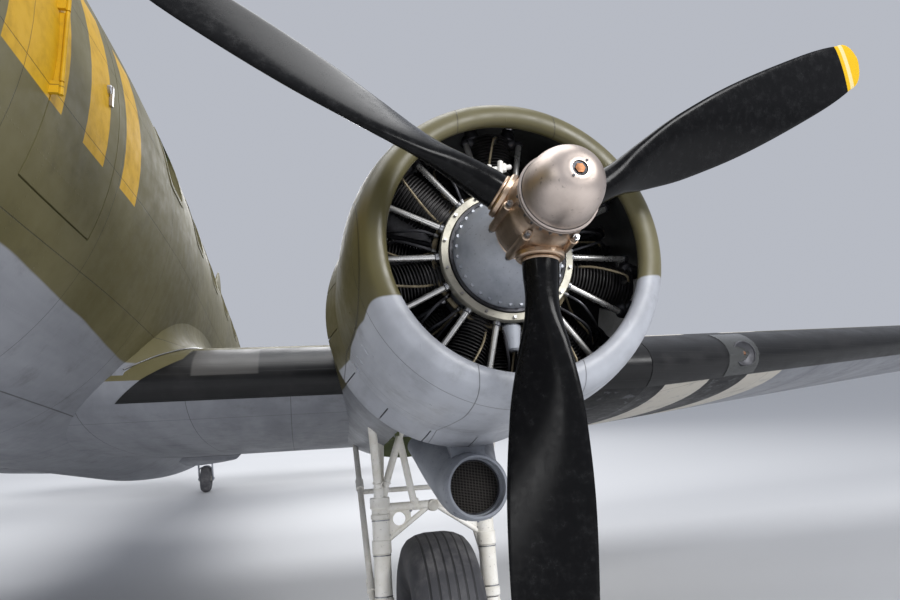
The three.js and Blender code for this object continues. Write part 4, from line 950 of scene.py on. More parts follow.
middle_wing = middle_wing_solid(0)
inner_flaps = {}
for word, ends in (("port", (1.33, 4.08)), ("starboard", (-4.08, -1.33))):
    inner_flaps[word], middle_wing = split_flap(middle_wing, *ends)
pad = wing_point(wing_row(3.95), 0.3, -1)
pads = [rod((x, pad.y, pad.z + 0.08), (x, pad.y, pad.z - 0.03), 0.07, 32, bevel=0.006) for x in (3.95, -3.95)]
middle_parts = [two_sided(part, WING_TOP, WING_UNDER) for part in (middle_wing, *pads)]
dress(merge([*middle_parts, *fillet(1), *fillet(-1)]), "wing_centre_skin", replaces=["wing_centre"], angle=28)
for word, piece in inner_flaps.items():
    node = "flap_inner_" + word
    dress(two_sided(piece, PRIMER, WING_UNDER), "inner_flap_" + word, node, replaces=[node])

AILERON, AILERON_AT = (9.12, 13.85), 0.78


def aileron_hinge():
    """The hinge line through the middle of the wing, and marks of the half thickness on it."""
    rows = [wing_row(x) for x in AILERON]
    ends = [(wing_point(row, AILERON_AT, 1) + wing_point(row, AILERON_AT, -1)) / 2 for row in rows]
    m, length = hinge_matrix(*ends)
    marks = []
    for x in (AILERON[0], TIP_X, AILERON[1]):
        row = tip_row(x) if x > TIP_X else wing_row(x)
        share = (x - AILERON[0]) / (AILERON[1] - AILERON[0])
        at = (ends[0].y + (ends[1].y - ends[0].y) * share - row["y"]) / row["chord"]
        marks.append((share * length, (wing_point(row, at, 1) - wing_point(row, at, -1)).length / 2))
    return (m, length), marks


def boot(x0, x1, upper, lower, steps, lift=0.004):
    """A strip round a leading edge."""
    rings = []
    for x in np.linspace(x0, x1, steps):
        row = wing_row(x)
        ups = [wing_point(row, upper * (k / 9) ** 2, 1, lift) for k in range(9, 0, -1)]
        downs = [wing_point(row, lower * (k / 7) ** 2, -1, lift) for k in range(1, 8)]
        nose = wing_point(row, 0, 0) - Vector((0, lift, 0))
        back = [wing_point(row, lower, -1, -0.01), wing_point(row, 0.004, 1, -0.012)]
        rings.append([*ups, nose, *downs, *back, wing_point(row, upper, 1, -0.01)])
    return loft(rings)


def landing_lamp():
    place = wing_point(wing_row(5.26), 0, 0)
    bowl = spin([(0.0, 0.012), (0.05, 0.006), (0.088, -0.0065)], 40, place + Vector((0, 0.004, 0)))
    rim = spin([(0.088, -0.0075), (0.096, -0.0075), (0.096, 0.03), (0.088, 0.03)], 40, place, closed=True)
    bulb = spin([(0, -0.0075), (0.012, -0.006), (0.018, 0.002), (0, 0.008)], 24, place)
    return merge(painted(DARK_STEEL, bowl, rim) + painted(COPPER, bulb))


outer = outer_solid()
aileron, outer = hung(outer, copy_of(outer), *aileron_hinge(), 1.0)
outer_flap, outer = split_flap(outer, 4.56, 8.98)
both(two_sided(outer, WING_TOP, WING_UNDER), "outer_wing", "wing_outer", angle=28)
both(two_sided(aileron, WING_TOP, WING_UNDER), "aileron_skin", "aileron", "aileron", angle=28)
both(two_sided(outer_flap, PRIMER, WING_UNDER), "outer_flap", "flap_outer", "flap_outer")
# What the fairing at the root hides of the inner boot
hidden = [(0.3, -0.6), (0.42, -0.6), (0.89, -0.3), (1.06, -0.16), (1.27, -0.03), (1.4, 0.3), (0.3, 0.3)]
both(boot(4.354, 13.55, 0.075, 0.035, 5), "outer_boot", material=BOOT)
both(boot(3.35, 4.346, 0.075, 0.035, 3), "middle_boot", material=BOOT)
both(cut(boot(0.84, 2.3, 0.06, 0.019, 3), slab(hidden, 4.6, 6.6)), "inner_boot", material=BOOT)
both(landing_lamp(), "landing_lamp")
both(boot(5.1, 5.42, 0.05, 0.03, 2, 0.0085), "lamp_glass", slot="glazing", material=LENS)

# Tail
ELEVATOR, ELEVATOR_Y, RUDDER, RUDDER_Y = (0.38, 3.78), 17.55, (1.65, 4.38), 18.23
whole = tailplane_solid(0)
tailplane = copy_of(whole)
for word, side in SIDES.items():
    ends = sorted(side * x for x in ELEVATOR)
    hinge = hinge_matrix(*((x, ELEVATOR_Y, TAIL_Z) for x in ends))
    marks = sorted((abs(side * x - ends[0]), half_thick(TAILPLANE, x, ELEVATOR_Y))
                   for x in (ELEVATOR[0], 1.8, 3.3, ELEVATOR[1]))
    elevator, tailplane = hung(tailplane, copy_of(whole), hinge, marks, 1.3)
    dress(two_sided(elevator, FIN_PAINT, WING_UNDER), "elevator_skin_" + word, "elevator_" + word,
          replaces=["elevator_" + word], angle=28)
cut(tailplane, block(-0.372, 0.372, 17.75, 19, 1, 2))
dress(two_sided(tailplane, FIN_PAINT, WING_UNDER), "tailplane_skin", replaces=["tailplane"], angle=28)
fin = fin_solid(0)
marks = [(z - RUDDER[0], half_thick(FIN, z, RUDDER_Y)) for z in (1.65, 2.3, 3.4, 4.15, 4.38)]
rudder, fin = hung(fin, copy_of(fin), hinge_matrix(*((0, RUDDER_Y, z) for z in RUDDER)), marks, 1.6)
cut(fin, hull_solid(-PARTING), tailplane_solid(PARTING), block(-0.5, 0.5, 18.46, 20, 1, RUDDER[0]))
dress(fin, "fin_skin", replaces=["fin"], material=FIN_PAINT, angle=28)
dress(rudder, "rudder_skin", "rudder", replaces=["rudder"], material=FIN_PAINT, angle=28)
for piece in (SHELL, PROUD, panes, whole):
    bpy.data.objects.remove(piece)


# Power units, drawn on the port side about the thrust line
def spoke(angle):
    """The directions out from the thrust line and round it."""
    return Vector((math.cos(angle), 0, math.sin(angle))), Vector((-math.sin(angle), 0, math.cos(angle)))


def around(angle, radius, y):
    return Vector((ENGINE_X + radius * math.cos(angle), PROP_Y + y, radius * math.sin(angle)))


def axis_rod(y0, y1, radius, sides, bevel=0.0):
    return rod(around(0, 0, y0), around(0, 0, y1), radius, sides, bevel=bevel)


def turn(profile, sides, closed=False):
    return spin(profile, sides, (ENGINE_X, PROP_Y, 0), closed=closed)


def heads(material, angles, radius, y, length, size, sides=6):
    """Nuts or bolts on a circle, each standing forward of its place."""
    spots = [around(angle, radius, y) for angle in angles]
    return painted(material, *(rod(p, p - Vector((0, length, 0)), size, sides) for p in spots))


WELL_HALF, WELL_FRONT, WELL_STEP, WELL_BACK = 0.3, 4.85, 5.6, 6.75


def nacelle():
    """The nacelle's skin with the ribs of its wheel well."""
    left, right = ENGINE_X - WELL_HALF, ENGINE_X + WELL_HALF
    well = block(left, right, WELL_FRONT, WELL_BACK, -1.5, -0.3)
    fuse(well, block(left, right, WELL_FRONT, WELL_STEP, -1.5, -0.04))
    piece = cut(nacelle_solid(0), middle_wing_solid(0), well)

    def inner(centre, normal):
        x, y, z = centre
        deep = abs(x - ENGINE_X) < 0.302 and 4.848 < y < 6.752 and z < -0.03
        flat = abs(normal.x) > 0.999 or abs(normal.y) > 0.999 or normal.z < -0.9999
        # Faces forward of 4.02, inside the cowling, get painted shade (SHADE); deep flat faces of the well get
        # primer
        return 2 if y < 4.02 else deep and flat

    repaint(paint(piece, NACELLE_PAINT, PRIMER, SHADE), inner)
    ribs = []
    for y in (5.0, 5.25, 5.5, 5.75, 6.0, 6.25, 6.5):
        for side in (1, -1):
            x = ENGINE_X + side * WELL_HALF
            head = -0.33 if y > WELL_STEP else -0.06
            ribs.append(block(x - side * 0.022, x + side * 0.004, y - 0.012, y + 0.012, -0.59, head))
    for z in (-0.2, -0.42):
        ribs.append(block(left + 0.004, right - 0.004, 4.846, 4.872, z - 0.012, z + 0.012))
    for y in (5.15, 5.4):
        ribs.append(block(left + 0.004, right - 0.004, y - 0.014, y + 0.014, -0.07, -0.036))
    return merge([piece, *painted(PRIMER, *ribs)])


COWL = [(0.535, 0.295), (0.524, 0.262), (0.534, 0.24), (0.56, 0.232), (0.588, 0.236), (0.612, 0.25),
        (0.636, 0.285), (0.655, 0.345), (0.67, 0.42), (0.6795, 0.5), (0.6835, 0.6), (0.683, 0.85),
        (0.677, 1.12)]
GILLS = 18


def dark_inside(piece):
    """Cowl paint, and dark painted shade on the faces that look at the engine."""
    def looks_in(centre, normal):
        out = Vector((centre.x - ENGINE_X, 0, centre.z)).normalized()
        return centre.y > PROP_Y + 0.3 and normal.dot(out) < -0.25
    return repaint(paint(piece, NACELLE_PAINT, SHADE), looks_in)


def cowling():
    """The cowl ring with three rows of latches and a ring of rivet heads."""
    inner = [(0.655, 1.12), (0.655, 0.52), (0.636, 0.43), (0.58, 0.33)]
    extras = []
    for angle in (math.radians(a) for a in (90, 210, 330)):
        out, along = spoke(angle)
        for p in (around(angle, 0.681, y) for y in (0.6, 0.84, 1.04)):
            extras.append(rod(p - along * 0.026, p + along * 0.026, 0.006, 10, bevel=0.001))
            extras.append(rod(p - out * 0.004, p + out * 0.005, 0.013, 14, bevel=0.001))
    for angle in circle(42):
        p, out = around(angle, 0.6815, 0.545), spoke(angle)[0]
        extras.append(rod(p - out * 0.004, p + out * 0.0015, 0.0055, 8))
    ring = dark_inside(turn([*curve_through(COWL, 4), *inner], 128, True))
    return merge([ring, *painted(NACELLE_PAINT, *extras)])


def pipe_room():
    """What the exhaust pipe takes out of the gills."""
    return rod((ENGINE_X + 0.405, 4.1, -0.39), (ENGINE_X + 0.47, 4.7, -0.45), 0.1, 40)


def gills():
    """The flaps behind the cowling, parted by slots, with a dark sheet under them as painted shade, and the
    links that open them.
    """
    profile = [(0.655, 1.1204), (0.677, 1.1204), (0.6995, 1.25), (0.716, 1.37), (0.71, 1.37), (0.693, 1.25),
               (0.664, 1.14)]
    # A dark sheet under the flaps that stands in for the shade behind the slots
    shade_sheet = [(0.659, 1.135), (0.6905, 1.25), (0.706, 1.362), (0.703, 1.362), (0.6875, 1.25), (0.656, 1.135)]
    centre = Matrix.Translation((ENGINE_X, PROP_Y, 0))
    slots = [placed(block(0.6, 0.8, 1.15, 1.4, -0.0035, 0.0035), centre @ Matrix.Rotation(-angle, 4, "Y"))
             for angle in circle(GILLS, 0.5)]
    piece = dark_inside(cut(turn(profile, 112, True), *slots, pipe_room()))
    angles = [angle for angle in circle(GILLS) if not -0.9 < math.remainder(angle, 2 * math.pi) < -0.55]
    links = [rod(around(angle, 0.652, 1.13), around(angle, 0.697, 1.29), 0.0065, 8) for angle in angles]
    return merge([piece, *painted(DARK_STEEL, cut(turn(shade_sheet, 96, True), pipe_room()), *links)])


# The two rows of seven cylinders: how far back each is and how far it is turned
CYLINDERS = 7
FRONT_ROW, REAR_ROW = (0.52, 0.0), (0.74, 0.5)


def row_angles(shift):
    return [math.pi / 2 + angle for angle in circle(CYLINDERS, shift)]


def cylinder(angle, y, lead_back):
    """A finned barrel and head, its rocker boxes, its two spark plugs and the lead of the front one."""
    out, along = spoke(angle)
    foot = around(angle, 0, y)
    profile = [(0, 0.24), (0.078, 0.24), (0.078, 0.256), (0.066, 0.256)]
    for k in range(22):
        at, size = 0.266 + k * 0.0145, 0.079 + 0.019 * min(1.0, k / 13)
        profile += [(0.07, at), (size, at + 0.002), (size, at + 0.006), (0.07, at + 0.008)]
    parts = painted(FINS, spin([*profile, (0.07, 0.59), (0.05, 0.604), (0, 0.606)], 20, foot, out))
    for round_way in (along, -along):
        base = foot + out * 0.574 + round_way * 0.078 + Vector((0, -0.03, 0))
        box = rod(foot + out * 0.56 + round_way * 0.03, base + round_way * 0.045, 0.04, 18, 0.03, bevel=0.006)
        cover = rod(base, base + out * 0.055 + round_way * 0.012, 0.034, 18, 0.027, bevel=0.006)
        lid = base + out * 0.052 + round_way * 0.012
        cap = rod(lid, base + out * 0.06 + round_way * 0.013, 0.03, 18, bevel=0.002)
        parts += painted(DARK_STEEL, box, cover) + painted(BARE, cap)
    for way in (1, -1):
        start = foot + out * 0.535 + Vector((0, way * 0.088, 0))
        tip = start + Vector((0, way * 0.034, 0)) + out * 0.01
        parts += painted(BARE, rod(start, tip, 0.0105, 10))
    lead = [tip, tip + Vector((0, -0.016, 0)) - out * 0.03 + along * 0.02,
            around(angle + 0.1, 0.4, y - lead_back), around(angle + 0.12, 0.31, 0.468)]
    return parts + painted(WIRE, tube(lead, 0.0052, 7))


def push_rods(angle, y, turns, foot_y, radius, material):
    """The two push rods of a cylinder, with a collar and a cuff on each."""
    parts = []
    for way in (1, -1):
        head = around(angle + way * turns[0], 0.572, y - 0.06)
        root = around(angle + way * turns[1], 0.284, foot_y)
        collar = rod(root, root.lerp(head, 0.07), 0.0195, 14, bevel=0.003)
        cuff = rod(root.lerp(head, 0.92), head, 0.018, 14, bevel=0.003)
        parts += painted(material, rod(root, head, radius, 14))
        parts += painted(BARE, collar) + painted(DARK_STEEL, cuff)
    return parts


def valve():
    """A small valve with its pipes above the crankcase: ends and radius of each of its rods."""
    middle = Vector((ENGINE_X - 0.014, PROP_Y + 0.335, 0.366))
    rods = [((-0.052, 0, -0.01), (0.048, 0, 0.008), 0.011),
            ((-0.006, -0.008, -0.03), (0, -0.008, 0.028), 0.0125),
            ((-0.052, 0, -0.012), (-0.05, 0, 0.012), 0.013), ((0.014, 0, -0.016), (0.017, 0, 0.02), 0.012),
            ((0, 0, 0), (0, 0.1, -0.06), 0.01)]
    made = [rod(middle + Vector(a), middle + Vector(b), radius, 14, bevel=0.003) for a, b, radius in rods]
    return painted(CREAM, *made)


def engine():
    bell = curve_through([(0.02, 0.146), (0.1, 0.152), (0.118, 0.17), (0.14, 0.205), (0.172, 0.252),
                          (0.204, 0.305), (0.228, 0.362), (0.236, 0.392)], 4)
    case = [(0, 0.15), *bell, (0.25, 0.394), (0.25, 0.41), (0.262, 0.44), (0.262, 0.88), (0.23, 0.9596),
            (0, 0.9596)]
    flange = [(0.252, 0.396), (0.256, 0.388), (0.284, 0.388), (0.288, 0.394), (0.288, 0.424), (0.252, 0.428)]
    groove = [(0.236, 0.4), (0.238, 0.382), (0.25, 0.382), (0.254, 0.4)]
    harness = [(0.302, 0.452), (0.312, 0.46), (0.312, 0.476), (0.302, 0.484), (0.292, 0.476), (0.292, 0.46)]
    sump = around(-math.pi / 2, 0.29, 0.45)
    parts = [
        *painted(CASE, turn(case, 64), rod(sump, sump + Vector((0, 0, -0.11)), 0.04, 16, 0.03, bevel=0.008)),
        *painted(SILVER, turn(flange, 96, True)), *painted(DARK_STEEL, turn(groove, 80, True)),
        *painted(BARE, axis_rod(0.1, 0.2, 0.045, 40)), *painted(WIRE, turn(harness, 64, True)),
        *heads(CASE, circle(32, 0.5), 0.2265, 0.372, 0.02, 0.0075),
        *heads(BARE, circle(14, 0.5), 0.272, 0.388, 0.012, 0.0065),
        *heads(BARE, circle(10), 0.098, 0.152, 0.012, 0.007), *valve(),
    ]
    y, shift = FRONT_ROW
    for angle in row_angles(shift):
        parts += cylinder(angle, y, 0.1) + push_rods(angle, y, (0.224, 0.224), 0.43, 0.0132, POLISHED)
        corners = [around(angle + way, radius, 0)
                   for way, radius in ((-0.17, 0.3), (-0.2, 0.6), (0.2, 0.6), (0.17, 0.3))]
        parts += painted(DARK_STEEL, loft([[p + Vector((0, at, 0)) for p in corners] for at in (0.805, 0.81)]))
        for way in (-1, 1):
            pipe = [around(angle + way * 0.33, 0.296, 0.45), around(angle + way * 0.36, 0.38, 0.43),
                    around(angle + way * 0.4, 0.47, 0.47), around(angle + way * 0.37, 0.56, 0.6)]
            parts += painted(DARK_STEEL, tube(pipe, 0.006, 8))
            parts += painted(BARE, rod(pipe[0], pipe[0].lerp(pipe[1], 0.25), 0.0095, 10, bevel=0.002))
    y, shift = REAR_ROW
    for angle in row_angles(shift):
        parts += cylinder(angle, y, 0.16) + push_rods(angle, y, (0.15, 0.13), 0.56, 0.0115, DARK_STEEL)
        parts += painted(DARK_STEEL, rod(around(angle, 0.56, y), around(angle, 0.651, y), 0.026, 12))
    return merge(parts)


BLADE_ANGLES = [math.radians(a) for a in (25.9, 145.9, 265.9)]
# Columns: station along the blade, chord, thickness, pitch in degrees. The tip is rounded from BLADE_ROUND on.
BLADES = [
    [0.1634, 0.134, 0.134, 45], [0.22, 0.131, 0.131, 45], [0.29, 0.119, 0.118, 45], [0.35, 0.128, 0.106, 45],
    [0.48, 0.19, 0.072, 42], [0.7, 0.262, 0.046, 36], [1.0, 0.29, 0.034, 29], [1.4, 0.262, 0.022, 22],
    [1.66, 0.2, 0.014, 19], [PROP_RADIUS, 0.074, 0.008, 18],
]
BLADE_ROOT, BLADE_ROUND = BLADES[0][0], BLADES[-2][0]


def blade(angle):
    """A twisted blade that grows out of a round root, with a sleeve round the root."""
    out, way = spoke(angle)
    aft, middle = Vector((0, 1, 0)), around(0, 0, 0)
    spots = [*np.linspace(BLADE_ROOT, 1.62, 44), 1.64, 1.66, 1.68, 1.7, 1.715, 1.728, 1.739, 1.747,
             PROP_RADIUS]
    rings = []
    for radius, chord, thick, pitch in eased(BLADES, spots):
        if radius > BLADE_ROUND:
            chord = 0.2 * math.sqrt(max(0.02, 1 - ((radius - BLADE_ROUND) / 0.0952) ** 2.4))
        c, s = math.cos(math.radians(pitch)), math.sin(math.radians(pitch))
        along, across = way * c - aft * s, way * -s - aft * c
        blunt = min(0.3, max(0, (radius - 0.33)))
        rings.append([middle + out * radius + along * (chord / 2 * math.cos(t))
                      + across * (thick / 2 * math.sin(t) * (1 + blunt * math.cos(t))) for t in circle(28)])
    sleeve = rod(middle + out * (BLADE_ROOT + PARTING), middle + out * 0.176, 0.0705, 40, bevel=0.003)
    return merge(painted(BLADE, loft(rings)) + painted(BRONZE, sleeve))


def hub():
    """The barrel with its three blade sockets, bolts and seals."""
    outline = [(0.02, -0.1996), (0.128, -0.1996), (0.13, -0.16), (0.136, -0.12), (0.145, -0.085), (0.147, 0.0),
               (0.145, 0.085), (0.128, 0.112), (0.12, 0.13), (0.118, 0.1395), (0.02, 0.1398)]
    body = turn(curve_through(outline, 3), 64, True)
    middle, parts = around(0, 0, 0), []
    for angle in BLADE_ANGLES:
        fuse(body, rod(middle, around(angle, 0.163, 0), 0.082, 40, bevel=0.006))
        collar = rod(around(angle, 0.138, 0), around(angle, 0.1625, 0), 0.088, 40, bevel=0.005)
        seal = rod(around(angle, 0.158, 0), around(angle, 0.1628, 0), 0.078, 40, bevel=0.002)
        parts += painted(BRONZE, collar) + painted(SEAL, seal)
        for turned in (angle - 0.62, angle + 0.62):
            for y, way in ((-0.112, -1), (0.092, 1)):
                p = around(turned, 0.148, y)
                parts += painted(BARE, rod(p, p + Vector((0, way * 0.022, 0)), 0.0125, 6),
                                 rod(p, p + Vector((0, way * 0.034, 0)), 0.0065, 10))
            boss = rod(around(turned, 0.148, -0.112), around(turned, 0.148, 0.092), 0.017, 16, bevel=0.003)
            parts += painted(BRONZE, boss)
    cut(body, axis_rod(0.02, 0.3, 0.0458, 40))
    return merge([*painted(BRONZE, body), *parts, *heads(BARE, circle(24), 0.134, -0.178, 0.0215, 0.0068)])


def dome():
    """The pitch dome with its two grooves and the plug at its tip."""
    cap = curve_through([(0.1335, -0.225), (0.132, -0.262), (0.126, -0.3), (0.1135, -0.336), (0.094, -0.366),
                         (0.066, -0.387), (0.034, -0.3975)], 5)
    foot = [(0, -0.2), (0.143, -0.2), (0.1435, -0.207), (0.1395, -0.208), (0.1395, -0.212), (0.1425, -0.213),
            (0.1425, -0.219), (0.1345, -0.222)]
    shell = turn([*foot, *cap, (0, -0.4)], 96)
    cut(shell, axis_rod(-0.42, -0.392, 0.027, 32))
    grooves = [turn([(0.1398, -0.2081), (0.1408, -0.2081), (0.1408, -0.2119), (0.1398, -0.2119)], 72, True),
               turn([(0.1345, -0.2212), (0.1362, -0.2205), (0.1362, -0.2228), (0.1345, -0.2232)], 72, True)]
    return merge([
        *painted(DOME, shell), *painted(SEAL, *grooves), *painted(COPPER, axis_rod(-0.392, -0.3985, 0.017, 6)),
        *painted(DARK_STEEL, axis_rod(-0.3925, -0.3935, 0.0265, 32)),
        *heads(DARK_STEEL, (0.8, math.pi + 0.8), 0.036, -0.3975, 0.0025, 0.0045, 10)])


def exhaust():
    """The pipe beside the nacelle, open at its end, with two bands and a lip."""
    path = [Vector((ENGINE_X + 0.415, 4.2, -0.4)), Vector((ENGINE_X + 0.47, 4.7, -0.45)),
            Vector((ENGINE_X + 0.505, 5.25, -0.475))]
    bend, end = path[1:]
    trimmed = lambda obj, *tools: cut(obj, *tools, nacelle_solid(PARTING), middle_wing_solid(PARTING))
    bore = rod((ENGINE_X + 0.476, 4.8, -0.4545), (ENGINE_X + 0.51, 5.3, -0.4773), 0.085, 48)
    parts = painted(EXHAUST, trimmed(tube(path, 0.092, 48), bore))
    for at in (0.12, 0.62):
        band = rod(bend.lerp(end, at), bend.lerp(end, at + 0.035), 0.0955, 48, bevel=0.002)
        room = rod(bend.lerp(end, at - 0.1), bend.lerp(end, at + 0.2), 0.0905, 48)
        parts += painted(DARK_STEEL, trimmed(band, room))
    lip = [(0.0925, 0), (0.0955, 0.004), (0.0955, 0.012), (0.0845, 0.012), (0.0845, 0.0)]
    along = end - bend
    return merge(parts + painted(DARK_STEEL, spin(lip, 48, end - along.normalized() * 0.012, along, True)))


COOLER_Z = -0.92


def cooler():
    """The oil cooler's scoop, its rim and core, and a ring of rivet heads."""
    rows = eased(SCOOP, [4.27, 4.273, 4.278, 4.286, *stations(SCOOP, 0.035, 4.3, 4.84)])
    body = loft([body_ring(row, 64, 0, 2, ENGINE_X) for row in rows])
    fuse(body, block(ENGINE_X - 0.09, ENGINE_X + 0.09, 4.43, 4.7, -0.8, -0.56))
    bar = lambda y0, y1, radius: rod((ENGINE_X, y0, COOLER_Z), (ENGINE_X, y1, COOLER_Z), radius, 64)
    cut(body, bar(4.2, 4.34, 0.141), bar(4.2, 4.41, 0.136), nacelle_solid(PARTING))
    outline = [(0.128, 4.366), (0.1358, 4.366), (0.1358, 4.372), (0.128, 4.372)]
    rim = painted(DARK_STEEL, spin(outline, 64, (ENGINE_X, 0, COOLER_Z), closed=True))
    rivets = []
    for angle in circle(16):
        p = Vector((ENGINE_X + 0.1625 * math.cos(angle), 4.33, COOLER_Z + 0.1645 * math.sin(angle)))
        out = spoke(angle)[0]
        rivets.append(rod(p - out * 0.002, p + out * 0.006, 0.006, 8))
    return merge(painted(COOLER, body, *rivets) + painted(CORE, bar(4.372, 4.4, 0.1355)) + rim)


both(nacelle(), "nacelle_skin", "nacelle", angle=28)
both(cowling(), "cowl_skin", "cowling")
both(gills(), "gill_flaps", "cowl_gills")
both(engine(), "radial_engine", "engine", slot="engine_metal", shift=True, angle=30)
both(hub(), "propeller_barrel", "prop_hub", "propeller", "hub_metal", shift=True)
both(dome(), "pitch_dome", "prop_dome", "propeller", "dome_metal", shift=True)
for i, angle in enumerate(BLADE_ANGLES):
    both(blade(angle), f"blade_{i + 1}", f"prop_blade_{i + 1}", "propeller", "blade_paint", shift=True,
         angle=50)
both(exhaust(), "exhaust_pipe", "exhaust", slot="exhaust_steel")
both(cooler(), "oil_cooler_scoop", "oil_cooler", slot="cooler_metal", angle=30)

# Main gear. LEG: how far out and back each leg stands, FORK_Z: where its tubes meet, CROSS_Z: the cross tube.
LEG_X, LEG_Y, FORK_Z, CROSS_Z = 0.35, 5.56, -0.985, -1.005


def gear():
    """Two legs with their fork tubes, cross frame and axle."""
    parts = []
    for side in (1, -1):
        p = lambda x, y, z: Vector((ENGINE_X + side * x, y, z))
        foot, root = p(LEG_X, WHEEL_Y, WHEEL_Z), p(LEG_X, LEG_Y, FORK_Z)
        cream = [
            rod(p(0.315, WHEEL_Y, WHEEL_Z), p(0.385, WHEEL_Y, WHEEL_Z), 0.066, 40, bevel=0.006),
            rod(p(LEG_X, LEG_Y, -1.6), p(LEG_X, LEG_Y, FORK_Z + 0.03), 0.056, 40, bevel=0.004),
            rod(p(LEG_X, LEG_Y, CROSS_Z), p(0.02, LEG_Y, CROSS_Z), 0.0285, 28),
            rod(p(LEG_X, LEG_Y, -1.235), p(0.02, LEG_Y, CROSS_Z - 0.006), 0.0165, 20),
            rod(p(0.12, LEG_Y, CROSS_Z), p(0.208, 5.507, -0.56), 0.0235, 24),
            rod(p(0.12, LEG_Y, CROSS_Z - 0.02), p(0.12, LEG_Y, CROSS_Z + 0.05), 0.034, 28, 0.027, bevel=0.006),
            rod(p(0, LEG_Y - 0.034, CROSS_Z - 0.006), p(0, LEG_Y + 0.034, CROSS_Z - 0.006), 0.038, 32,
                bevel=0.004),
            rod(foot + Vector((0, 0, 0.02)), foot + Vector((0, 0.004, 0.14)), 0.052, 32, 0.043, bevel=0.006),
        ]
        for low, high, size in ((-1.605, -1.55, 0.0635), (-1.29, -1.2, 0.0625), (-1.075, -1.04, 0.0635),
                                (-1.01, -0.935, 0.0655)):
            cream.append(rod(p(LEG_X, LEG_Y, low), p(LEG_X, LEG_Y, high), size, 40, bevel=0.007))
        for x, y, size in ((0.43, 5.2, 0.0275), (0.3, 5.72, 0.026), (0.12, 5.474, 0.024)):
            along = lambda share: root.lerp(p(x, y, -0.3), share)
            cream.append(rod(root, p(x, y, -0.3), size, 28))
            cream.append(rod(along(0.05), along(0.17), size + 0.009, 28, size + 0.004, bevel=0.004))
            cream.append(rod(along(0.2), along(0.215), size + 0.006, 28, bevel=0.003))
        corners = [(0.05, 0), (0.2, 0.01), (0.2, 0.11), (0.045, 0.22)]
        outline = [(ENGINE_X + side * (LEG_X - x), FORK_Z - z) for x, z in corners]
        x, z = LEG_X - 0.122, FORK_Z - 0.095
        hole = rod(p(x, LEG_Y - 0.1, z), p(x, LEG_Y + 0.1, z), 0.042, 32)
        parts += painted(CREAM, *cream, cut(slab(outline, LEG_Y - 0.008, LEG_Y + 0.008), hole))
        parts += painted(POLISHED, rod(foot, p(LEG_X, LEG_Y, -1.56), 0.038, 36))
        parts += painted(DARK_STEEL, rod(p(LEG_X, LEG_Y, -1.612), p(LEG_X, LEG_Y, -1.605), 0.05, 36))
        for z in (-1.545, -1.3, -1.085):
            parts += painted(BARE, rod(p(LEG_X, LEG_Y, z), p(LEG_X, LEG_Y, z + 0.007), 0.059, 40))
        for x, z in ((0.05, 0.01), (0.2, 0.05), (0.05, 0.19)):
            ends = [p(LEG_X - x, LEG_Y + way, FORK_Z - z) for way in (-0.016, 0.016)]
            parts += painted(BARE, rod(*ends, 0.009, 6))
        parts += painted(BARE, rod(p(0.44, WHEEL_Y, WHEEL_Z), p(0.428, WHEEL_Y, WHEEL_Z), 0.052, 6))
    ends = [(ENGINE_X + x, WHEEL_Y, WHEEL_Z) for x in (-0.44, 0.44)]
    return merge(parts + painted(BARE, rod(*ends, 0.038, 40, bevel=0.004)))


def brace():
    """Two bars from the axle to the back of the well, and the rod between them."""
    parts = painted(CREAM, rod((ENGINE_X - 0.404, 6.45, -0.886), (ENGINE_X + 0.404, 6.45, -0.886), 0.019, 20))
    for side in (1, -1):
        p = lambda x, y, z: Vector((ENGINE_X + side * x, y, z))
        low, high = p(0.41, WHEEL_Y + 0.02, WHEEL_Z + 0.022), p(0.4, 7.0, -0.3)
        bar = rod(p(0.392, WHEEL_Y, WHEEL_Z), p(0.427, WHEEL_Y, WHEEL_Z), 0.058, 40, bevel=0.004)
        fuse(bar, rod(low, high, 0.023, 24))
        cut(bar, rod(p(0.3, WHEEL_Y, WHEEL_Z), p(0.6, WHEEL_Y, WHEEL_Z), 0.0384, 40), nacelle_solid(PARTING),
            middle_wing_solid(PARTING))
        cuffs = [rod(low.lerp(high, k), low.lerp(high, k + 0.05), 0.031, 24, bevel=0.004) for k in (0.13, 0.6)]
        parts += painted(CREAM, bar, *cuffs)
    return merge(parts)


def rolled(half, sides, centre):
    """Turns a wheel or tyre about X, from half of its profile."""
    return spin([*half, *((r, -x) for r, x in reversed(half))], sides, centre, (1, 0, 0), True)


def hub_bolts(centre, side, count, radius, x, length, size):
    spots = [centre + Vector((side * x, radius * math.cos(t), radius * math.sin(t))) for t in circle(count)]
    return painted(BARE, *(rod(p, p + Vector((side * length, 0, 0)), size, 6) for p in spots))


MAIN_CENTRE = Vector((ENGINE_X, WHEEL_Y, WHEEL_Z))


def main_tyre():
    return rolled([(0.2042, 0.145), (0.225, 0.172), (0.3, 0.208), (0.37, 0.221), (0.43, 0.222), (0.49, 0.203),
                   (0.525, 0.175), (0.549, 0.125), (0.562, 0.06)], 60, MAIN_CENTRE)


def main_wheel():
    half = [(0.0383, 0.225), (0.084, 0.225), (0.087, 0.22), (0.09, 0.2), (0.112, 0.112), (0.128, 0.106),
            (0.165, 0.113), (0.184, 0.132), (0.192, 0.152), (0.2, 0.156), (0.2038, 0.15)]
    parts = painted(WHEEL, rolled(half, 72, MAIN_CENTRE))
    for side in (1, -1):
        parts += hub_bolts(MAIN_CENTRE, side, 10, 0.142, 0.106, 0.016, 0.011)
        parts += hub_bolts(MAIN_CENTRE, side, 6, 0.064, 0.2245, 0.004, 0.007)
        cap = [(0.0384, 0), (0.058, 0), (0.055, side * 0.004), (0.0384, side * 0.004)]
        place = MAIN_CENTRE + Vector((side * 0.2245, 0, 0))
        parts += painted(DARK_STEEL, spin(cap, 40, place, (1, 0, 0), True))
    return merge(parts)


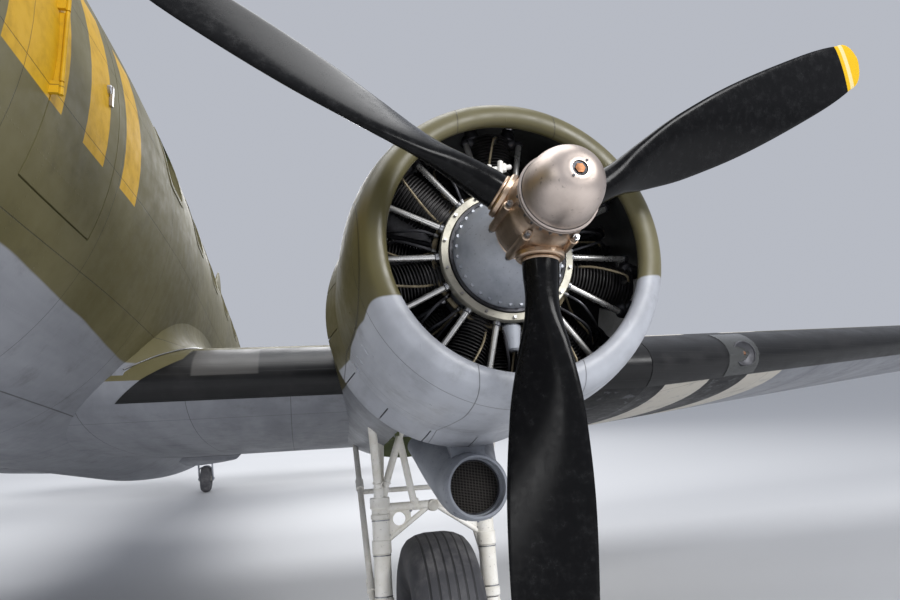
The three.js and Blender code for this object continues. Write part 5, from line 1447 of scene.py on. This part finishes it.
both(gear(), "gear_legs", "gear_frame", slot="gear_paint")
both(brace(), "drag_brace", "gear_brace", slot="gear_paint")
both(main_tyre(), "main_tyre", "tyre", "main_wheel", "tyre_rubber", material=RUBBER, angle=60)
both(main_wheel(), "main_hub", "wheel", "main_wheel", "wheel_paint")

# Tail gear, drawn upright with its origin on the floor under the swivel
TAIL = TO_GROUND.inverted() @ Matrix.Translation((0, 16.6 * COS + SHIFT_Y, 0))
TRAIL, TAIL_R = 0.17, 0.28
TAIL_CENTRE = Vector((0, TRAIL, TAIL_R))


def fork_side(side, x, inset):
    foot = [(TRAIL + (0.048 - inset) * math.cos(t), TAIL_R + (0.048 - inset) * math.sin(t))
            for t in np.linspace(-2.68, 0.46, 18)]
    crown = [(0.06 - inset, 0.61), (0.06 - inset, 0.645), (-0.06 + inset, 0.645), (-0.06 + inset, 0.61)]
    return [(side * x, y, z) for y, z in foot + crown]


def tail_fork():
    parts = [rounded(-0.064, 0.064, 0.603, 0.648, -0.152, 0.152, 0.018),
             rod((0, 0, 0.62), (0, 0, 0.88), 0.0318, 32),
             rod((0, 0, 0.645), (0, 0, 0.654), 0.05, 40, bevel=0.002),
             rod((-0.15, TRAIL, TAIL_R), (0.15, TRAIL, TAIL_R), 0.0198, 32)]
    for side in (1, -1):
        rows = ((0.128, 0.004), (0.132, 0), (0.146, 0), (0.15, 0.004))
        parts.append(loft([fork_side(side, x, inset) for x, inset in rows]))
        parts.append(rod((side * 0.12, TRAIL, TAIL_R), (side * 0.153, TRAIL, TAIL_R), 0.036, 32, bevel=0.003))
        parts.append(rod((side * 0.15, TRAIL, TAIL_R), (side * 0.166, TRAIL, TAIL_R), 0.027, 6, bevel=0.002))
        parts += [rod((side * 0.11, y, 0.645), (side * 0.11, y, 0.658), 0.012, 6) for y in (-0.036, 0.036)]
        parts.append(tube([(side * 0.139, 0.075, 0.47), (side * 0.1, 0.1, 0.52), (0, 0.11, 0.545)], 0.013, 12))
    return merge(painted(COOLER, *parts))


def tail_strut():
    sleeve = [(0.034, 0.657), (0.07, 0.657), (0.072, 0.664), (0.072, 0.69), (0.063, 0.7), (0.062, 0.85),
              (0.066, 0.855), (0.066, 0.875), (0.062, 0.88), (0.062, 1.0), (0.034, 1.0)]
    stay = rod((0, 0.05, 0.789), (0, 0.4, 1.13), 0.026, 24)
    collar = rod((0, 0.058, 0.797), (0, 0.11, 0.848), 0.033, 24, bevel=0.004)
    pin = rod((-0.045, 0.084, 0.822), (0.045, 0.084, 0.822), 0.014, 16, bevel=0.003)
    grey = painted(COOLER, spin(sleeve, 48, along=(0, 0, 1), closed=True), stay, collar)
    return merge(grey + painted(BARE, pin))


def tail_tyre():
    half = [(0.1183, 0.068), (0.126, 0.086), (0.15, 0.103), (0.186, 0.11), (0.222, 0.103), (0.25, 0.085),
            (0.268, 0.06), (0.277, 0.032), (0.2795, 0.01)]
    return paint(rolled(half, 56, TAIL_CENTRE), RUBBER)


def tail_wheel():
    half = [(0.0204, 0.117), (0.044, 0.117), (0.048, 0.112), (0.052, 0.062), (0.066, 0.046), (0.094, 0.05),
            (0.106, 0.064), (0.112, 0.071), (0.1178, 0.069)]
    bolts = [bolt for side in (1, -1) for bolt in hub_bolts(TAIL_CENTRE, side, 8, 0.08, 0.045, 0.012, 0.008)]
    return merge(painted(WHEEL, rolled(half, 56, TAIL_CENTRE)) + bolts)


for piece, name, body, slot, angle in (
        (tail_strut(), "tail_strut", "airframe", "gear_paint", 35),
        (tail_fork(), "tail_fork", "tail_swivel", "gear_paint", 35),
        (tail_tyre(), "tail_tyre", "tail_roller", "tyre_rubber", 60),
        (tail_wheel(), "tail_wheel", "tail_roller", "wheel_paint", 35)):
    dress(placed(piece, TAIL), name + "_piece", body, slot, [name], angle=angle)

# Pieces kept from the frame as they are, with their own finishes
for name, material in (("cabin_floor", FLOOR), ("cockpit_interior", PRIMER)):
    paint(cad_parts[name], material)


# Stage
def camera():
    """Stands where the photograph was taken from: its heading, rise and roll in the aeroplane's own frame."""
    yaw, pitch, roll = (math.radians(v) for v in (13.005, 15.522, -4.391))
    ahead = Vector((math.sin(yaw) * math.cos(pitch), math.cos(yaw) * math.cos(pitch), math.sin(pitch)))
    right = Vector((math.cos(yaw), -math.sin(yaw), 0))
    up = right.cross(ahead)
    right, up = right * math.cos(roll) + up * math.sin(roll), up * math.cos(roll) - right * math.sin(roll)
    m = Matrix((right, up, -ahead)).transposed().to_4x4()
    m.translation = (1.9595, 0.8525, -0.9326)
    obj = bpy.data.objects.new("camera", bpy.data.cameras.new("camera"))
    bpy.context.scene.collection.objects.link(obj)
    obj.matrix_world = TO_GROUND @ m
    obj.data.sensor_width, obj.data.lens = 36, 27.49
    obj.data.clip_start, obj.data.clip_end = 0.02, 500
    bpy.context.scene.camera = obj


def lamp(name, place, aim, size, power):
    data = bpy.data.lights.new(name, "AREA")
    data.shape, data.size, data.size_y, data.energy = "RECTANGLE", *size, power
    obj = bpy.data.objects.new(name, data)
    bpy.context.scene.collection.objects.link(obj)
    obj.location = place
    obj.rotation_euler = (Vector(aim) - Vector(place)).to_track_quat("-Z", "Y").to_euler()


camera()
floor = shape([(-300, -300, 0), (300, -300, 0), (300, 300, 0), (-300, 300, 0)], [(0, 1, 2, 3)])
floor.name = "floor"
paint(floor, Shade("floor_paint", Base_Color=srgb(205, 206, 208), Roughness=0.6).mat)
world = bpy.data.worlds.new("world")
world.use_nodes = True
background = world.node_tree.nodes["Background"]
background.inputs["Color"].default_value = (0.86, 0.9, 1.0, 1)
background.inputs["Strength"].default_value = 0.55
bpy.context.scene.world = world
lamp("key", (11, -19, 12), (2.5, -6, 2), (9, 6), 2600)
lamp("fill", (-12, -16, 8), (0, -5, 2), (9, 7), 1200)
lamp("top", (0, 0, 16), (0, 0, 0), (16, 14), 1800)
lamp("back", (4, 18, 11), (0, 2, 2), (12, 6), 1300)
bpy.context.scene.view_settings.view_transform = "Standard"
